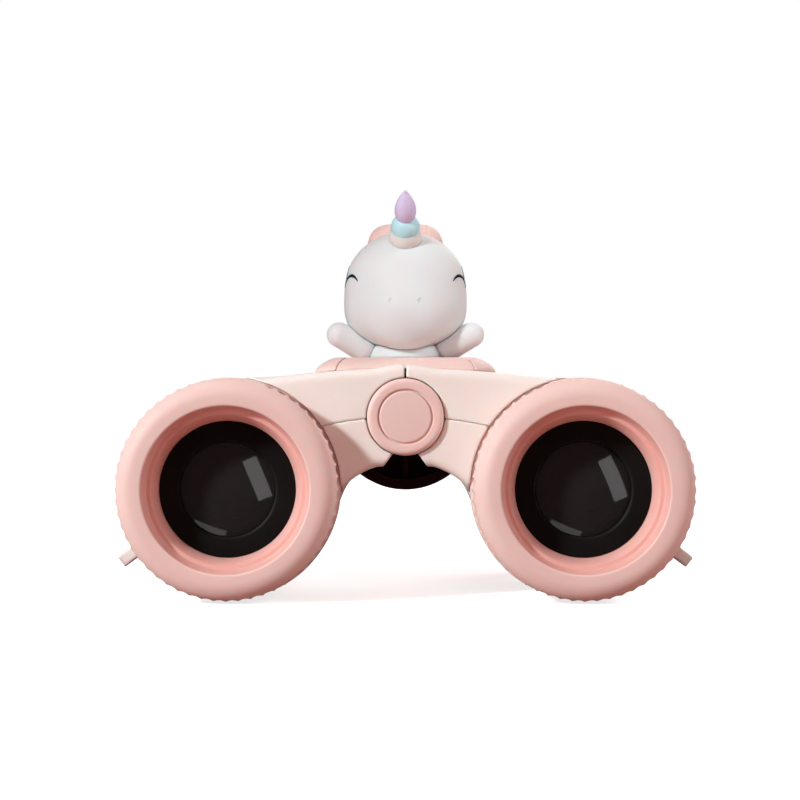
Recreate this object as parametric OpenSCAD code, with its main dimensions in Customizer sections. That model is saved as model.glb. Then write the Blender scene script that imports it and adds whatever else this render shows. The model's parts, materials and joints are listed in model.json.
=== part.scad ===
// Toy binoculars with a unicorn figure on the bridge.
// Millimetres, +Z up, objectives towards -Y, eyepieces towards +Y.
// Inside the modules x = z = 0 is the hinge axis and y = 0 is the front of the rings.

/* [Layout] */
// Distance between the two barrel axes with the halves fully open
barrel_spacing = 74.2; // [70:0.2:80]
// Height of the hinge axis above the barrel axes
hinge_rise = 15.1; // [13:0.1:17]

/* [Objective ring] */
// Outer diameter over the rear flange
ring_d = 46.8; // [46:0.2:50]
// Length along the barrel
ring_len = 15.9; // [14.5:0.1:17]
// Diameter of the front opening
ring_opening_d = 34.6; // [32:0.2:37]
// Number of grip flutes round the edge
rib_count = 56; // [40:1:64]
// Depth of the flutes
rib_depth = 0.7; // [0.3:0.05:0.8]

/* [Objective optics] */
// Outer diameter of the black lens cell
cell_d = 28.4; // [27.6:0.2:29.4]
// Clear hole in the black annulus
aperture_d = 21.2; // [19:0.2:22]
// Diameter of the objective lens
lens_d = 24.4; // [23:0.2:25]

/* [Housing] */
// Outer diameter of the barrel behind the ring
barrel_d = 44; // [43:0.2:45]
// Outer diameter of the barrel at its rear end
barrel_rear_d = 36; // [34:0.5:40]
// Wall thickness of the shells
wall = 2.2; // [1.8:0.1:2.6]
// Width of the seam between the upper and lower shell
seam_gap = 0.2; // [0.1:0.05:0.3]

/* [Bridge] */
// Distance of the arm front face behind the ring front
arm_front = 10.6; // [9.5:0.1:12]
// Length of the arms along the hinge
arm_len = 32.4; // [32:0.2:36]
// Height of the arm top above the hinge axis
arm_top = 10.3; // [9.6:0.1:11]
// Radius of the arch below the bridge
arch_r = 18; // [16:0.5:19]
// Width of the slit between the two halves
slit = 0.4; // [0.3:0.05:0.8]

/* [Hinge] */
// Diameter of the hinge pin
pin_d = 6; // [5.4:0.1:6.6]
// Diameter of the front cap
cap_d = 16.2; // [15:0.1:16.4]
// Diameter of the disc set into the cap
cap_disc_d = 11; // [9:0.1:12]

/* [Focus] */
// Diameter of the focus wheel over its ribs
wheel_d = 33.4; // [30:0.2:35]
// Width of the focus wheel
wheel_w = 9.8; // [9:0.2:12]
// Diameter of the focus spindle
spindle_d = 4; // [3.4:0.1:4.4]
// Travel of the eyepieces to either side
focus_travel = 3; // [2:0.1:3.5]

/* [Eyepieces] */
// Outer diameter of the sliding eyepiece tube
tube_d = 26.4; // [25:0.2:27]
// Outer diameter of the eyecup
eyecup_d = 36.4; // [34:0.2:40]
// Length of the eyecup
eyecup_len = 24.4; // [20:0.2:28]

/* [Saddle] */
// Width of the saddle at its foot
saddle_w = 39.2; // [36:0.2:42]
// Height of the saddle top above the hinge axis
saddle_top = 12.8; // [12.4:0.1:14]
// Width of the panel set into the front of the saddle
panel_w = 29.6; // [26:0.2:31]

/* [Figure] */
// Width of the unicorn head
head_w = 26.6; // [22:0.2:28]
// Height of the unicorn head
head_h = 24.8; // [22:0.2:26]
// Depth of the unicorn head
head_dp = 22; // [18:0.2:24]
// Diameter of the lowest horn segment
horn_d = 7.1; // [6:0.1:8]
// Radius of the ends of the two arms
hand_r = 2.7; // [2.2:0.1:3]

/* [Strap lugs] */
// Distance of the lug tip from the barrel axis
lug_reach = 29.9; // [29:0.1:33]
// Thickness of the lug
lug_t = 2.6; // [2.2:0.1:3.4]
// Diameter of the strap hole
lug_hole_d = 3.5; // [2.6:0.1:3.6]

/* [Hidden] */
$fn = 96;
// Radial play of a running fit
run_fit = 0.05;
// Radial play of parts that are seated in each other
seat_fit = 0.05;
// Play between neighbouring bodies
gap = 0.3;
// Side play between hinge knuckles
side_play = 0.2;
// Overlap that keeps cuts and unions clean
eps = 1;
big = 200;

barrel_x = barrel_spacing / 2;
ring_r = ring_d / 2;
barrel_r = barrel_d / 2;
ring_wall = 1;
neck_r = min(barrel_r - 2, ring_r - 0.8 - rib_depth - ring_wall);
neck_y = 8;
barrel_y = ring_len + gap;
cell_r = cell_d / 2;
cell_y = 6.2;
cell_bore_r = lens_d / 2 + seat_fit;
flange_r = neck_r - wall;

arm_rear = arm_front + arm_len;
arm_drop = 11;
top_arc_r = 200;
arch_z = -(arch_r + 9.1);
boss_r = arm_top + 1.1;
boss_len = 4;
v_apex = 4.15;
v_slope = 0.728;
v_len = 24;
seam_r = 81;
seam_out_z = sqrt(seam_r * seam_r - barrel_x * barrel_x) - seam_r;
house_end = arm_rear + 13;
sleeve_y = house_end - 10.5;
bore_r = min(barrel_r - wall - 0.3, neck_r - 0.5);
bore_y = 13;
bore_taper_y = 36;
shoulder_y = arm_rear - 9;

hole_r = cap_d / 2 + 0.45;
knuckle_r = hole_r - gap;
pin_r = pin_d / 2;
cap_r = cap_d / 2;
cap_front = arm_front - 1.3;
cap_rear = arm_front + 3.4;
knuckle_y = cap_rear + gap;
knuckle_w = (arm_rear - 0.8 - knuckle_y - 8.4 - 4 * side_play) / 4;
l1_y = knuckle_y;
r1_y = l1_y + knuckle_w + side_play;
core_y = r1_y + knuckle_w + side_play;
core_w = 8.4;
r2_y = core_y + core_w + side_play;
l2_y = r2_y + knuckle_w + side_play;
core_x = 5.5;
core_top = arm_top - 0.9;

wheel_r = wheel_d / 2;
wheel_y = arm_rear + 1.2;
wheel_end = wheel_y + wheel_w;
rim_t = 2.4;
wheel_band = 2.2;
hub_r = 7.5;
keeper_y = wheel_y + 0.8;
hub_y = wheel_y + 2.6;
collar_y = hub_y + 0.1;
collar_w = 1.9;
collar_r = pin_r + 1;
spindle_r = spindle_d / 2;
spindle_y = wheel_y - 6.2;

tube_r = tube_d / 2;
tube_wall = 1.6;
bridge_y = house_end + focus_travel + 0.4;
bridge_t = 2.9;
bridge_gap = 0.2;
bridge_inset = 0.3;
bridge_end = bridge_y + 2 * bridge_t + bridge_gap;
flange_y = bridge_y - 1.2;
journal_r = spindle_r + 1.2;
bridge_ring_r = 6.5;
bridge_w = 9;
bridge_angle = atan2(hinge_rise, barrel_x);
collar_out_r = tube_r + 2.8;
cup_y = bridge_end + gap;
cup_r = eyecup_d / 2;
total_len = cup_y + eyecup_len;
tube_y = house_end - 14;
tube_end = cup_y + 9.4;
eye_bore_r = tube_r - tube_wall;

saddle_y = arm_front + boss_len + 0.4;
saddle_over = 0.4;
saddle_len = arm_rear + saddle_over - saddle_y;
saddle_side = 3.9;
saddle_r = 8;
panel_top = saddle_top - 0.3;
panel_corner = 3.4;
panel_len = 2.6;

figure_back = 15.4;
figure_y = saddle_y + saddle_len - figure_back;
head_up = 15.4;
head_z = saddle_top + head_up;
trunk_r = 8.2;
trunk_h = 5.6;
neck_fig_r = 5;
hand_x = 14.5;
hand_z = 5.1;
elbow_r = 3.4;
horn_lean = 42;
horn_r = horn_d / 2;
horn_fwd = 5.2;
horn_up = 9.6;
horn_base_c = 1.9;
horn_mid_c = 4.1;
horn_mid_r = 3.13;
horn_tip_c = 8.63;
horn_tip_r = 2.34;
horn_tip_low = 3.45;
horn_tip_h = 5.22;
horn_nub_r = 0.38;
mane_back = 6.8;
mane_up = 4;
mane_r = [6.4, 6.8, 10.8];
lock_x = 3.9;
lock_back = 6.4;
lock_up = 9.6;
lock_r = [4.7, 6.2, 5.2];
nape_back = 9;
nape_down = 1;
nape_r = [6.2, 4.6, 8.4];
nape_bottom = 3;
tail_out = 3.2;
tail_y = figure_y + trunk_r + tail_out;
tail_up = 2.4;
tail_r = 2.4;
tail_root_r = 2;

lug_angle = 37.7;
lug_shift = 2.03;
lug_r = 5;
lug_y = 26;
lug_hole_r = lug_hole_d / 2;

screw_r = 1.2;
screw_head_r = 2.2;
screw_x = 15;
post_r = 3.3;
screw_y1 = barrel_y + wall + post_r + 0.5;
screw_y2 = arm_rear - 5;

// Puts the hinge frame at the middle of the part, ring bottoms on z = 0
lift = hinge_rise + ring_r;

module place() {
    translate([0, -total_len / 2, lift])
        children();
}

module along_y(y = 0) {
    translate([0, y, 0])
        rotate([-90, 0, 0])
            children();
}

module at_barrel() {
    translate([-barrel_x, 0, -hinge_rise])
        children();
}

module to_right() {
    mirror([1, 0, 0])
        children();
}

// Ring around a Y axis from y0 to y1
module ring_y(r_out, r_in, y0, y1) {
    along_y(y0)
        difference() {
            cylinder(r = r_out, h = y1 - y0);
            translate([0, 0, -eps])
                cylinder(r = r_in, h = y1 - y0 + 2 * eps);
        }
}

module rod_y(r, y0, y1) {
    along_y(y0)
        cylinder(r = r, h = y1 - y0);
}

module turned_y(points) {
    along_y()
        rotate_extrude()
            polygon(points);
}

// Ribbed band around a Y axis
module ribbed_y(r, depth, count, y0, y1) {
    steps = 4;
    along_y(y0)
        linear_extrude(height = y1 - y0)
            polygon([for (i = [0 : count * steps - 1])
                let (a = 360 * i / (count * steps))
                let (q = r - depth * (1 - cos(360 * (i % steps) / steps)) / 2)
                [q * cos(a), q * sin(a)]]);
}

// Points of a quarter ellipse around a centre
function arc_points(c, a, b, from, to, n = 8) =
    [for (i = [0 : n])
        let (t = from + (to - from) * i / n)
        [c[0] + a * cos(t), c[1] + b * sin(t)]];

// Objective ring

band_r = ring_r - 0.7;
ring_body_r = band_r - rib_depth - 0.1;
ring_round_b = 4;
flange_front = ring_len - 4.5;
lip_r = 0.9;
open_r = ring_opening_d / 2;
ring_round_a = min(4, band_r - open_r - lip_r - 0.3);
step_r = open_r - 0.9;
shoulder_r = step_r - 0.7;
throat_r = cell_r + 0.1;

module objective_ring_shape() {
    at_barrel() {
        difference() {
            union() {
                turned_y(concat(
                    arc_points([open_r + lip_r, lip_r], lip_r, lip_r, 180, 270, 6),
                    arc_points([band_r - ring_round_a, ring_round_b],
                        ring_round_a - 0.1, ring_round_b, 270, 330, 8),
                    [[ring_body_r, ring_round_b], [ring_body_r, flange_front],
                        [ring_r - 0.3, flange_front], [ring_r, flange_front + 0.3],
                        [ring_r, ring_len - 0.6], [ring_r - 0.6, ring_len], [neck_r + seat_fit, ring_len],
                        [neck_r + seat_fit, neck_y], [throat_r, neck_y], [throat_r, cell_y],
                        [shoulder_r, 3.2], [step_r, 2.9]]));
                ribbed_y(band_r, rib_depth, rib_count, ring_round_b - 1.2, flange_front + 0.4);
            }
            rod_y(neck_r + seat_fit, neck_y, ring_len + eps);
            rod_y(throat_r, cell_y, neck_y + eps);
            turned_y([[0, 3], [shoulder_r - 0.1, 3], [throat_r, cell_y], [throat_r, neck_y], [0, neck_y]]);
            rod_y(shoulder_r, -eps, 3.1);
        }
    }
}

// Objective optics

plate_t = 1.1;
flange_y0 = neck_y + 0.1;
flange_y1 = neck_y + 3;
cell_end = 14;
lens_edge_y = cell_y + plate_t + 0.65;
lens_edge_t = 1.6;
lens_sag = 2;

module lens_cell_shape() {
    at_barrel()
        turned_y([
            [aperture_d / 2, cell_y + 0.35], [aperture_d / 2 + 0.35, cell_y], [cell_r, cell_y],
            [cell_r, flange_y0], [flange_r - seat_fit, flange_y0],
            [flange_r - seat_fit, flange_y1], [cell_r, flange_y1],
            [cell_r, cell_end], [cell_bore_r, cell_end], [cell_bore_r, cell_y + plate_t],
            [aperture_d / 2, cell_y + plate_t]]);
}

// Half profile of a lens with a domed front and a flatter rear
module lens_turned(r, y_edge, t_edge, sag_front, sag_rear) {
    rf = (r * r + sag_front * sag_front) / (2 * sag_front);
    rr = (r * r + sag_rear * sag_rear) / (2 * sag_rear);
    af = asin(r / rf);
    ar = asin(r / rr);
    n = 12;
    turned_y(concat(
        [for (i = [0 : n])
            let (a = af * i / n)
            [rf * sin(a), y_edge - sag_front + rf * (1 - cos(a))]],
        [for (i = [0 : n])
            let (a = ar * (n - i) / n)
            [rr * sin(a), y_edge + t_edge + sag_rear - rr * (1 - cos(a))]]));
}

module objective_lens_shape() {
    at_barrel()
        lens_turned(lens_d / 2, lens_edge_y, lens_edge_t, lens_sag, 0.8);
}

module lens_retainer_shape() {
    at_barrel()
        ring_y(cell_bore_r - seat_fit, cell_bore_r - 1.9,
            lens_edge_y + lens_edge_t + 0.25, cell_end - 0.4);
}

cage_y = bore_y + 2.5;
cage_flange = 2;
cage_len = 19;
cage_a = 22;
prism_a = 18;

module prism_cage_shape() {
    at_barrel()
        difference() {
            union() {
                rod_y(bore_r - seat_fit, cage_y, cage_y + cage_flange);
                translate([-cage_a / 2, cage_y, -cage_a / 2])
                    cube([cage_a, cage_len, cage_a]);
            }
            rod_y(prism_a / 2 - 1.5, cage_y - eps, cage_y + cage_len + eps);
            translate([-prism_a / 2 - seat_fit, cage_y + cage_flange, -prism_a / 2 - seat_fit])
                cube([prism_a + 2 * seat_fit, cage_len + eps, prism_a + 2 * seat_fit]);
        }
}

module prism_shape() {
    at_barrel()
        translate([-prism_a / 2, cage_y + cage_flange, -prism_a / 2])
            cube([prism_a, cage_len - cage_flange - 1, prism_a]);
}

// Housing

module barrel_outer() {
    at_barrel()
        turned_y(concat(
            [[0, neck_y], [neck_r, neck_y], [neck_r, barrel_y]],
            arc_points([barrel_r - 0.8, barrel_y + 0.8], 0.8, 0.8, 270, 360, 4),
            [for (i = [0 : 8])
                let (t = i / 8)
                [barrel_r - (barrel_r - barrel_rear_d / 2 - 0.4) * pow(t, 1.7),
                    shoulder_y + (house_end - 3 - shoulder_y) * t]],
            arc_points([barrel_rear_d / 2 - 2, house_end - 2], 2, 2, 0, 90, 5),
            [[0, house_end]]));
}

module barrel_bore() {
    at_barrel()
        turned_y([
            [0, neck_y - eps], [flange_r, neck_y - eps], [flange_r, flange_y1 + 0.1],
            [cell_r + 0.6, flange_y1 + 0.1], [cell_r + 0.6, bore_y], [bore_r, bore_y],
            [bore_r, bore_taper_y], [barrel_rear_d / 2 - wall, sleeve_y],
            [tube_r + run_fit, sleeve_y], [tube_r + run_fit, house_end + eps],
            [0, house_end + eps]]);
}

// One arm of the bridge, drawn smaller by inset on every side
module arm_block(inset) {
    difference() {
        intersection() {
            along_y(arm_front + inset)
                translate([0, top_arc_r - arm_top, 0])
                    cylinder(r = top_arc_r - inset, h = arm_len - 2 * inset, $fn = 720);
            translate([-barrel_x, arm_front + inset, -hinge_rise - arm_drop])
                cube([barrel_x - slit / 2 - inset, arm_len - 2 * inset, big]);
        }
        translate([0, 0, arch_z])
            rod_y(arch_r + inset, arm_front - eps, arm_rear + eps);
        rod_y(hole_r + inset, arm_front - eps, arm_rear + eps);
        v_cut(inset * 1.3);
        at_barrel()
            rod_y(ring_r + gap + inset, -eps, barrel_y + inset);
    }
}

module v_cut(grow) {
    along_y(arm_front - eps)
        linear_extrude(height = arm_len + 2 * eps)
            polygon([[big, v_apex - grow], [-slit / 2, v_apex - grow],
                [-v_slope * v_len - grow, v_apex + v_len], [big, v_apex + v_len]]);
}

module boss() {
    difference() {
        intersection() {
            rod_y(boss_r, arm_front, arm_front + boss_len);
            translate([-barrel_x, 0, -big])
                cube([barrel_x - slit / 2, big, 2 * big]);
        }
        rod_y(hole_r, arm_front - eps, arm_rear + eps);
        v_cut(0);
    }
}

module lug_frame() {
    at_barrel()
        rotate([0, 180 - lug_angle, 0])
            translate([0, lug_y, -lug_shift])
                children();
}

module lug() {
    lug_frame() {
        translate([barrel_r - 2.5, -lug_r, -lug_t / 2])
            cube([lug_reach - lug_r - barrel_r + 2.5, 2 * lug_r, lug_t]);
        translate([lug_reach - lug_r, 0, -lug_t / 2])
            cylinder(r = lug_r, h = lug_t);
    }
}

module lug_hole() {
    lug_frame()
        translate([lug_reach - lug_r + 0.6, 0, -lug_t])
            cylinder(r = lug_hole_r, h = 2 * lug_t);
}

module screw_post(y) {
    translate([-screw_x, y, arch_z])
        cylinder(r = post_r, h = arm_top - arch_z - 1.5);
}

module screw_cut(y) {
    translate([-screw_x, y, arch_z])
        cylinder(r = screw_r + 0.05, h = -arch_z + 4.5);
    translate([-screw_x, y, arch_z])
        cylinder(r = screw_head_r + 0.1, h = screw_seat_z - arch_z);
}

screw_seat_z = -8.6;

module knuckle(y) {
    rod_y(knuckle_r, y, y + knuckle_w);
    intersection() {
        rod_y(hole_r + 1.2, y, y + knuckle_w);
        difference() {
            translate([-big, 0, -big])
                cube([big - slit / 2, big, 2 * big]);
            v_cut(0);
        }
    }
}

// Everything of one half before the seam is cut
module half_body(y1, y2) {
    difference() {
        union() {
            difference() {
                union() {
                    barrel_outer();
                    arm_block(0);
                    boss();
                }
                arm_block(wall);
                barrel_bore();
            }
            intersection() {
                difference() {
                    union() {
                        screw_post(screw_y1);
                        screw_post(screw_y2);
                    }
                    at_barrel()
                        rod_y(bore_r + 0.1, 0, house_end);
                }
                arm_block(0);
            }
            lug();
            knuckle(y1);
            knuckle(y2);
        }
        screw_cut(screw_y1);
        screw_cut(screw_y2);
        lug_hole();
        rod_y(pin_r + run_fit, 0, house_end);
        core_window();
    }
}

// Opening for the core block, its post and the foot of the saddle
module core_window() {
    translate([-core_x - gap - 0.3, core_y - side_play, 0])
        cube([2 * core_x + 1.2, core_w + 2 * side_play, big]);
}

module below_seam(shift) {
    intersection() {
        along_y(-eps)
            translate([0, seam_r, 0])
                cylinder(r = seam_r + shift, h = big, $fn = 360);
        translate([-barrel_x, -eps, -big])
            cube([2 * barrel_x, big, 2 * big]);
    }
    translate([-barrel_x - big, -eps, -big])
        cube([big + 0.01, big, big + seam_out_z + shift]);
}

module upper_shell_shape(y1, y2) {
    difference() {
        half_body(y1, y2);
        below_seam(seam_gap / 2);
    }
}

module lower_shell_shape(y1, y2) {
    intersection() {
        half_body(y1, y2);
        below_seam(-seam_gap / 2);
    }
}

module shell_screw(y) {
    translate([-screw_x, y, screw_seat_z]) {
        cylinder(r = screw_r, h = 12.6);
        difference() {
            translate([0, 0, -1.6])
                cylinder(r = screw_head_r, h = 1.6);
            translate([-0.3, -1.5, -1.6 - eps])
                cube([0.6, 3, eps + 0.7]);
            translate([-1.5, -0.3, -1.6 - eps])
                cube([3, 0.6, eps + 0.7]);
        }
    }
}

module shell_screws_shape() {
    shell_screw(screw_y1);
    shell_screw(screw_y2);
}

// Eyepiece

module eyepiece_tube_shape() {
    at_barrel()
        turned_y([
            [eye_bore_r, tube_y], [tube_r, tube_y], [tube_r, tube_end], [eye_bore_r, tube_end],
            [eye_bore_r, tube_end - 6.2], [eye_bore_r - 1.2, tube_end - 6.2],
            [eye_bore_r - 1.2, tube_end - 7.4], [eye_bore_r, tube_end - 7.4],
            [eye_bore_r, tube_y + 5.2], [eye_bore_r - 1.2, tube_y + 5.2],
            [eye_bore_r - 1.2, tube_y + 4.2], [eye_bore_r, tube_y + 4.2]]);
}

module field_lens_shape() {
    at_barrel()
        lens_turned(eye_bore_r - seat_fit, tube_y + 2.2, 1.9, 1.2, 0.01);
}

module eye_lens_shape() {
    at_barrel()
        lens_turned(eye_bore_r - seat_fit, tube_end - 6.15, 2.2, 0.01, 1.6);
}

module eye_retainer_shape() {
    at_barrel()
        turned_y([
            [eye_bore_r - 2.6, tube_end - 2.6], [eye_bore_r - seat_fit, tube_end - 3.7],
            [eye_bore_r - seat_fit, tube_end], [eye_bore_r - 2.6, tube_end]]);
}

bridge_reach = barrel_x / cos(bridge_angle) - tube_r - 1.2;

module bridge_arm_shape(y) {
    difference() {
        union() {
            rod_y(bridge_ring_r, y, y + bridge_t);
            translate([0, y + bridge_inset, 0])
                rotate([0, 180 - bridge_angle, 0])
                    translate([0, 0, -bridge_w / 2])
                        cube([bridge_reach, bridge_t - 2 * bridge_inset, bridge_w]);
            at_barrel()
                rod_y(collar_out_r, bridge_y, bridge_end);
        }
        at_barrel()
            rod_y(tube_r + seat_fit, bridge_y - eps, bridge_end + eps);
        rod_y(journal_r + run_fit, bridge_y - eps, bridge_end + eps);
    }
}

cup_base_r = collar_out_r + 0.6;
cup_lip_t = 2.6;
cup_floor = tube_end + 0.1;

module eyecup_shape() {
    at_barrel()
        turned_y(concat(
            [[tube_r + seat_fit, cup_y], [cup_base_r - 0.6, cup_y], [cup_base_r, cup_y + 0.6],
                [cup_base_r, cup_y + 3], [cup_base_r - 0.7, cup_y + 3.4],
                [cup_base_r - 0.7, cup_y + 4.4], [cup_base_r + 0.2, cup_y + 4.8],
                [cup_base_r + 0.3, cup_y + 7], [cup_base_r - 0.4, cup_y + 7.4],
                [cup_base_r - 0.4, cup_y + 8.4], [cup_base_r + 0.6, cup_y + 8.8],
                [cup_r - 0.4, total_len - 9], [cup_r, total_len - 6]],
            arc_points([cup_r - 1.6, total_len - 1.6], 1.6, 1.6, 0, 180, 10),
            [[cup_r - 3.6, total_len - 7], [cup_r - 4.2, cup_floor + 2.4],
                [cup_r - 5.6, cup_floor + 1.2], [eye_bore_r - 1.4, cup_floor + 1.2],
                [eye_bore_r - 1.4, cup_floor], [tube_r + seat_fit, cup_floor]]));
}

// Hinge and core

module hinge_pin_shape() {
    difference() {
        union() {
            rod_y(pin_r, arm_front + 0.6, collar_y + collar_w);
            rod_y(collar_r, collar_y, collar_y + collar_w);
        }
        rod_y(spindle_r + run_fit, core_y, collar_y + collar_w + eps);
    }
}

cap_recess = 0.9;

module hinge_cap_shape() {
    difference() {
        turned_y(concat(
            [[0, cap_front]],
            arc_points([cap_r - 0.9, cap_front + 0.9], 0.9, 0.9, 270, 360, 6),
            [[cap_r, cap_rear], [0, cap_rear]]));
        rod_y(cap_disc_d / 2 + 0.4, cap_front - eps, cap_front + cap_recess);
        rod_y(pin_r + 0.02, arm_front + 0.6, cap_rear + eps);
    }
}

module cap_disc_shape() {
    turned_y(concat(
        [[0, cap_front + 0.05]],
        arc_points([cap_disc_d / 2 - 0.35, cap_front + 0.4], 0.35, 0.35, 270, 360, 4),
        [[cap_disc_d / 2, cap_front + cap_recess], [0, cap_front + cap_recess]]));
}

saddle_screw_x = 3;
saddle_screw_z = core_top + 1.3;

module saddle_screw_at() {
    for (s = [-1, 1])
        translate([s * saddle_screw_x, core_y + core_w / 2, 0])
            children();
}

module core_block_shape() {
    difference() {
        union() {
            rod_y(knuckle_r, core_y, core_y + core_w);
            translate([-core_x, core_y, 0])
                cube([2 * core_x, core_w, core_top]);
        }
        rod_y(pin_r + 0.02, core_y - eps, core_y + core_w + eps);
        saddle_screw_at()
            translate([0, 0, pin_r + 1.2])
                cylinder(r = 1.05, h = big);
    }
}

module saddle_slice(side, z) {
    translate([0, saddle_y + saddle_len / 2, z])
        linear_extrude(height = 0.02)
            hull() {
                for (sx = [-1, 1], sy = [-1, 1])
                    translate([sx * (saddle_w / 2 - saddle_r), sy * (saddle_len / 2 - saddle_r), 0])
                        circle(r = saddle_r - side, $fn = 48);
            }
}

module saddle_body() {
    hull() {
        saddle_slice(0, arm_top - 1.6);
        saddle_slice(0.5, arm_top - 0.2);
        saddle_slice(1.5, saddle_top - 1.2);
        saddle_slice(2.7, saddle_top - 0.35);
        saddle_slice(saddle_side, saddle_top - 0.02);
    }
}

module panel_prism(grow, y0, y1) {
    w = panel_w / 2 + grow;
    top = panel_top + grow;
    c = panel_corner;
    intersection() {
        translate([-w, y0, 0])
            cube([2 * w, y1 - y0, top]);
        union() {
            translate([-w, y0, 0])
                cube([2 * w, y1 - y0, top - c]);
            translate([-w + c, y0, 0])
                cube([2 * w - 2 * c, y1 - y0, top]);
            for (s = [-1, 1])
                translate([s * (w - c), 0, top - c])
                    rod_y(c, y0, y1);
        }
    }
}

module under_saddle(play) {
    along_y(0)
        translate([0, top_arc_r - arm_top, 0])
            cylinder(r = top_arc_r + play, h = big, $fn = 720);
}

module saddle_shape() {
    difference() {
        union() {
            difference() {
                saddle_body();
                under_saddle(gap);
            }
            translate([-core_x + 0.2, core_y + 0.2, core_top])
                cube([2 * core_x - 0.4, core_w - 0.4, arm_top + 1 - core_top]);
        }
        panel_prism(0.1, saddle_y - eps, saddle_y + panel_len + 0.1);
        saddle_screw_at() {
            translate([0, 0, core_top - eps])
                cylinder(r = 1.25, h = big);
            translate([0, 0, saddle_screw_z])
                cylinder(r = 2.1, h = big);
        }
    }
}

module saddle_panel_shape() {
    intersection() {
        difference() {
            translate([0, 0.3, -0.12])
                saddle_body();
            under_saddle(gap);
        }
        panel_prism(0, saddle_y - eps, saddle_y + panel_len + 0.1);
    }
}

module saddle_screws_shape() {
    saddle_screw_at() {
        translate([0, 0, pin_r + 1.6])
            cylinder(r = 1, h = saddle_screw_z - pin_r - 1.6);
        translate([0, 0, saddle_screw_z])
            cylinder(r = 2, h = 0.9);
    }
}

// Focus drive

module focus_wheel_shape() {
    difference() {
        union() {
            difference() {
                union() {
                    ribbed_y(wheel_r, 0.6, 44, wheel_y + wheel_band, wheel_end - 0.7);
                    turned_y([[0, wheel_y], [wheel_r - 0.8, wheel_y], [wheel_r - 0.1, wheel_y + 0.7],
                        [wheel_r - 0.1, wheel_y + wheel_band - 0.4],
                        [wheel_r - 0.65, wheel_y + wheel_band + 0.2],
                        [wheel_r - 0.65, wheel_end - 0.7], [wheel_r - 1.2, wheel_end], [0, wheel_end]]);
                }
                rod_y(wheel_r - rim_t, wheel_y - eps, wheel_end - 3.4);
                ring_y(wheel_r - rim_t - 0.6, hub_r + 1.5, wheel_end - 1, wheel_end + eps);
            }
            rod_y(hub_r, hub_y, wheel_end - 1);
            for (i = [0 : 5])
                rotate([0, 60 * i, 0])
                    translate([-0.7, wheel_y + 1.8, -wheel_r + 1])
                        cube([1.4, wheel_w - 4, wheel_r - hub_r - 0.95]);
        }
        rod_y(collar_r + run_fit + 0.05, hub_y - eps, collar_y + collar_w + 0.1);
        rod_y(spindle_r + run_fit, wheel_y, wheel_end + eps);
    }
}

module wheel_keeper_shape() {
    ring_y(hub_r - 0.2, pin_r + run_fit, keeper_y, hub_y);
}

module focus_spindle_shape() {
    difference() {
        union() {
            rod_y(spindle_r, spindle_y, flange_y + 0.5);
            rod_y(journal_r + 1.8, flange_y, bridge_y - 0.2);
            rod_y(journal_r, flange_y, bridge_end + 0.2);
        }
        rod_y(1.3, bridge_end - 4, bridge_end + eps);
    }
}

module spindle_cap_shape() {
    rod_y(1.25, bridge_end - 3.6, bridge_end + 0.5);
    turned_y(concat(
        [[0, bridge_end + 0.2], [5.6, bridge_end + 0.2], [5.6, bridge_end + 1.4]],
        arc_points([4.2, bridge_end + 1.4], 1.4, 1.4, 0, 90, 6),
        [[0, bridge_end + 2.8]]));
}

// Unicorn

module ball(c, r) {
    translate(c)
        sphere(r = r, $fn = 24);
}

module egg(c, a, b, h, n = 48) {
    translate(c)
        scale([a, b, h])
            sphere(r = 1, $fn = n);
}

head_c = [0, figure_y, head_z];
neck_top = head_z - head_h / 2 + 3.2;
muzzle_c = [0, figure_y - head_dp / 2 + 2.2, head_z - 6.8];
muzzle_r = [6.4, 5.6, 7.1];
cheek_c = [4.4, figure_y - 0.6, head_z - 6];
cheek_r = [8.4, 8.6, 6.4];

module trunk_egg(grow) {
    egg([0, figure_y + 1, saddle_top], trunk_r + grow, trunk_r + 1 + grow, trunk_h + grow);
}

module neck_post(grow) {
    translate([0, figure_y + 1, saddle_top])
        cylinder(r = neck_fig_r + grow, h = neck_top - saddle_top + grow, $fn = 48);
}

module trunk_shape() {
    difference() {
        union() {
            trunk_egg(0);
            neck_post(0);
        }
        difference() {
            head_solid(seat_fit);
            neck_post(seat_fit / 2);
        }
        translate([-big / 2, -big / 2, saddle_top - big])
            cube([big, big, big]);
    }
}

module head_solid(grow) {
    egg(head_c, head_w / 2 + grow, head_dp / 2 + grow, head_h / 2 + grow);
    egg(muzzle_c, muzzle_r[0] + grow, muzzle_r[1] + grow, muzzle_r[2] + grow);
    for (s = [-1, 1])
        egg([s * cheek_c[0], cheek_c[1], cheek_c[2]],
            cheek_r[0] + grow, cheek_r[1] + grow, cheek_r[2] + grow);
}

module head_shape() {
    difference() {
        head_solid(0);
        neck_post(seat_fit);
        horn_ball(horn_base_c, horn_r + seat_fit);
    }
}

module mane_shape() {
    difference() {
        union() {
            egg([0, figure_y + mane_back, head_z + mane_up], mane_r[0], mane_r[1], mane_r[2], 40);
            for (s = [-1, 1])
                egg([s * lock_x, figure_y + lock_back, head_z + lock_up],
                    lock_r[0], lock_r[1], lock_r[2], 40);
            egg([0, figure_y + nape_back, head_z - nape_down], nape_r[0], nape_r[1], nape_r[2], 40);
        }
        head_solid(2 * seat_fit);
        horn_ball(horn_base_c, horn_r + gap);
        translate([-big / 2, -big / 2, -big + saddle_top + nape_bottom])
            cube([big, big, big]);
    }
}

module horn_at(up) {
    translate([0, figure_y - horn_fwd, head_z + horn_up])
        rotate([horn_lean, 0, 0])
            translate([0, 0, up])
                children();
}

module horn_ball(up, r) {
    horn_at(up)
        sphere(r = r, $fn = 48);
}

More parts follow.
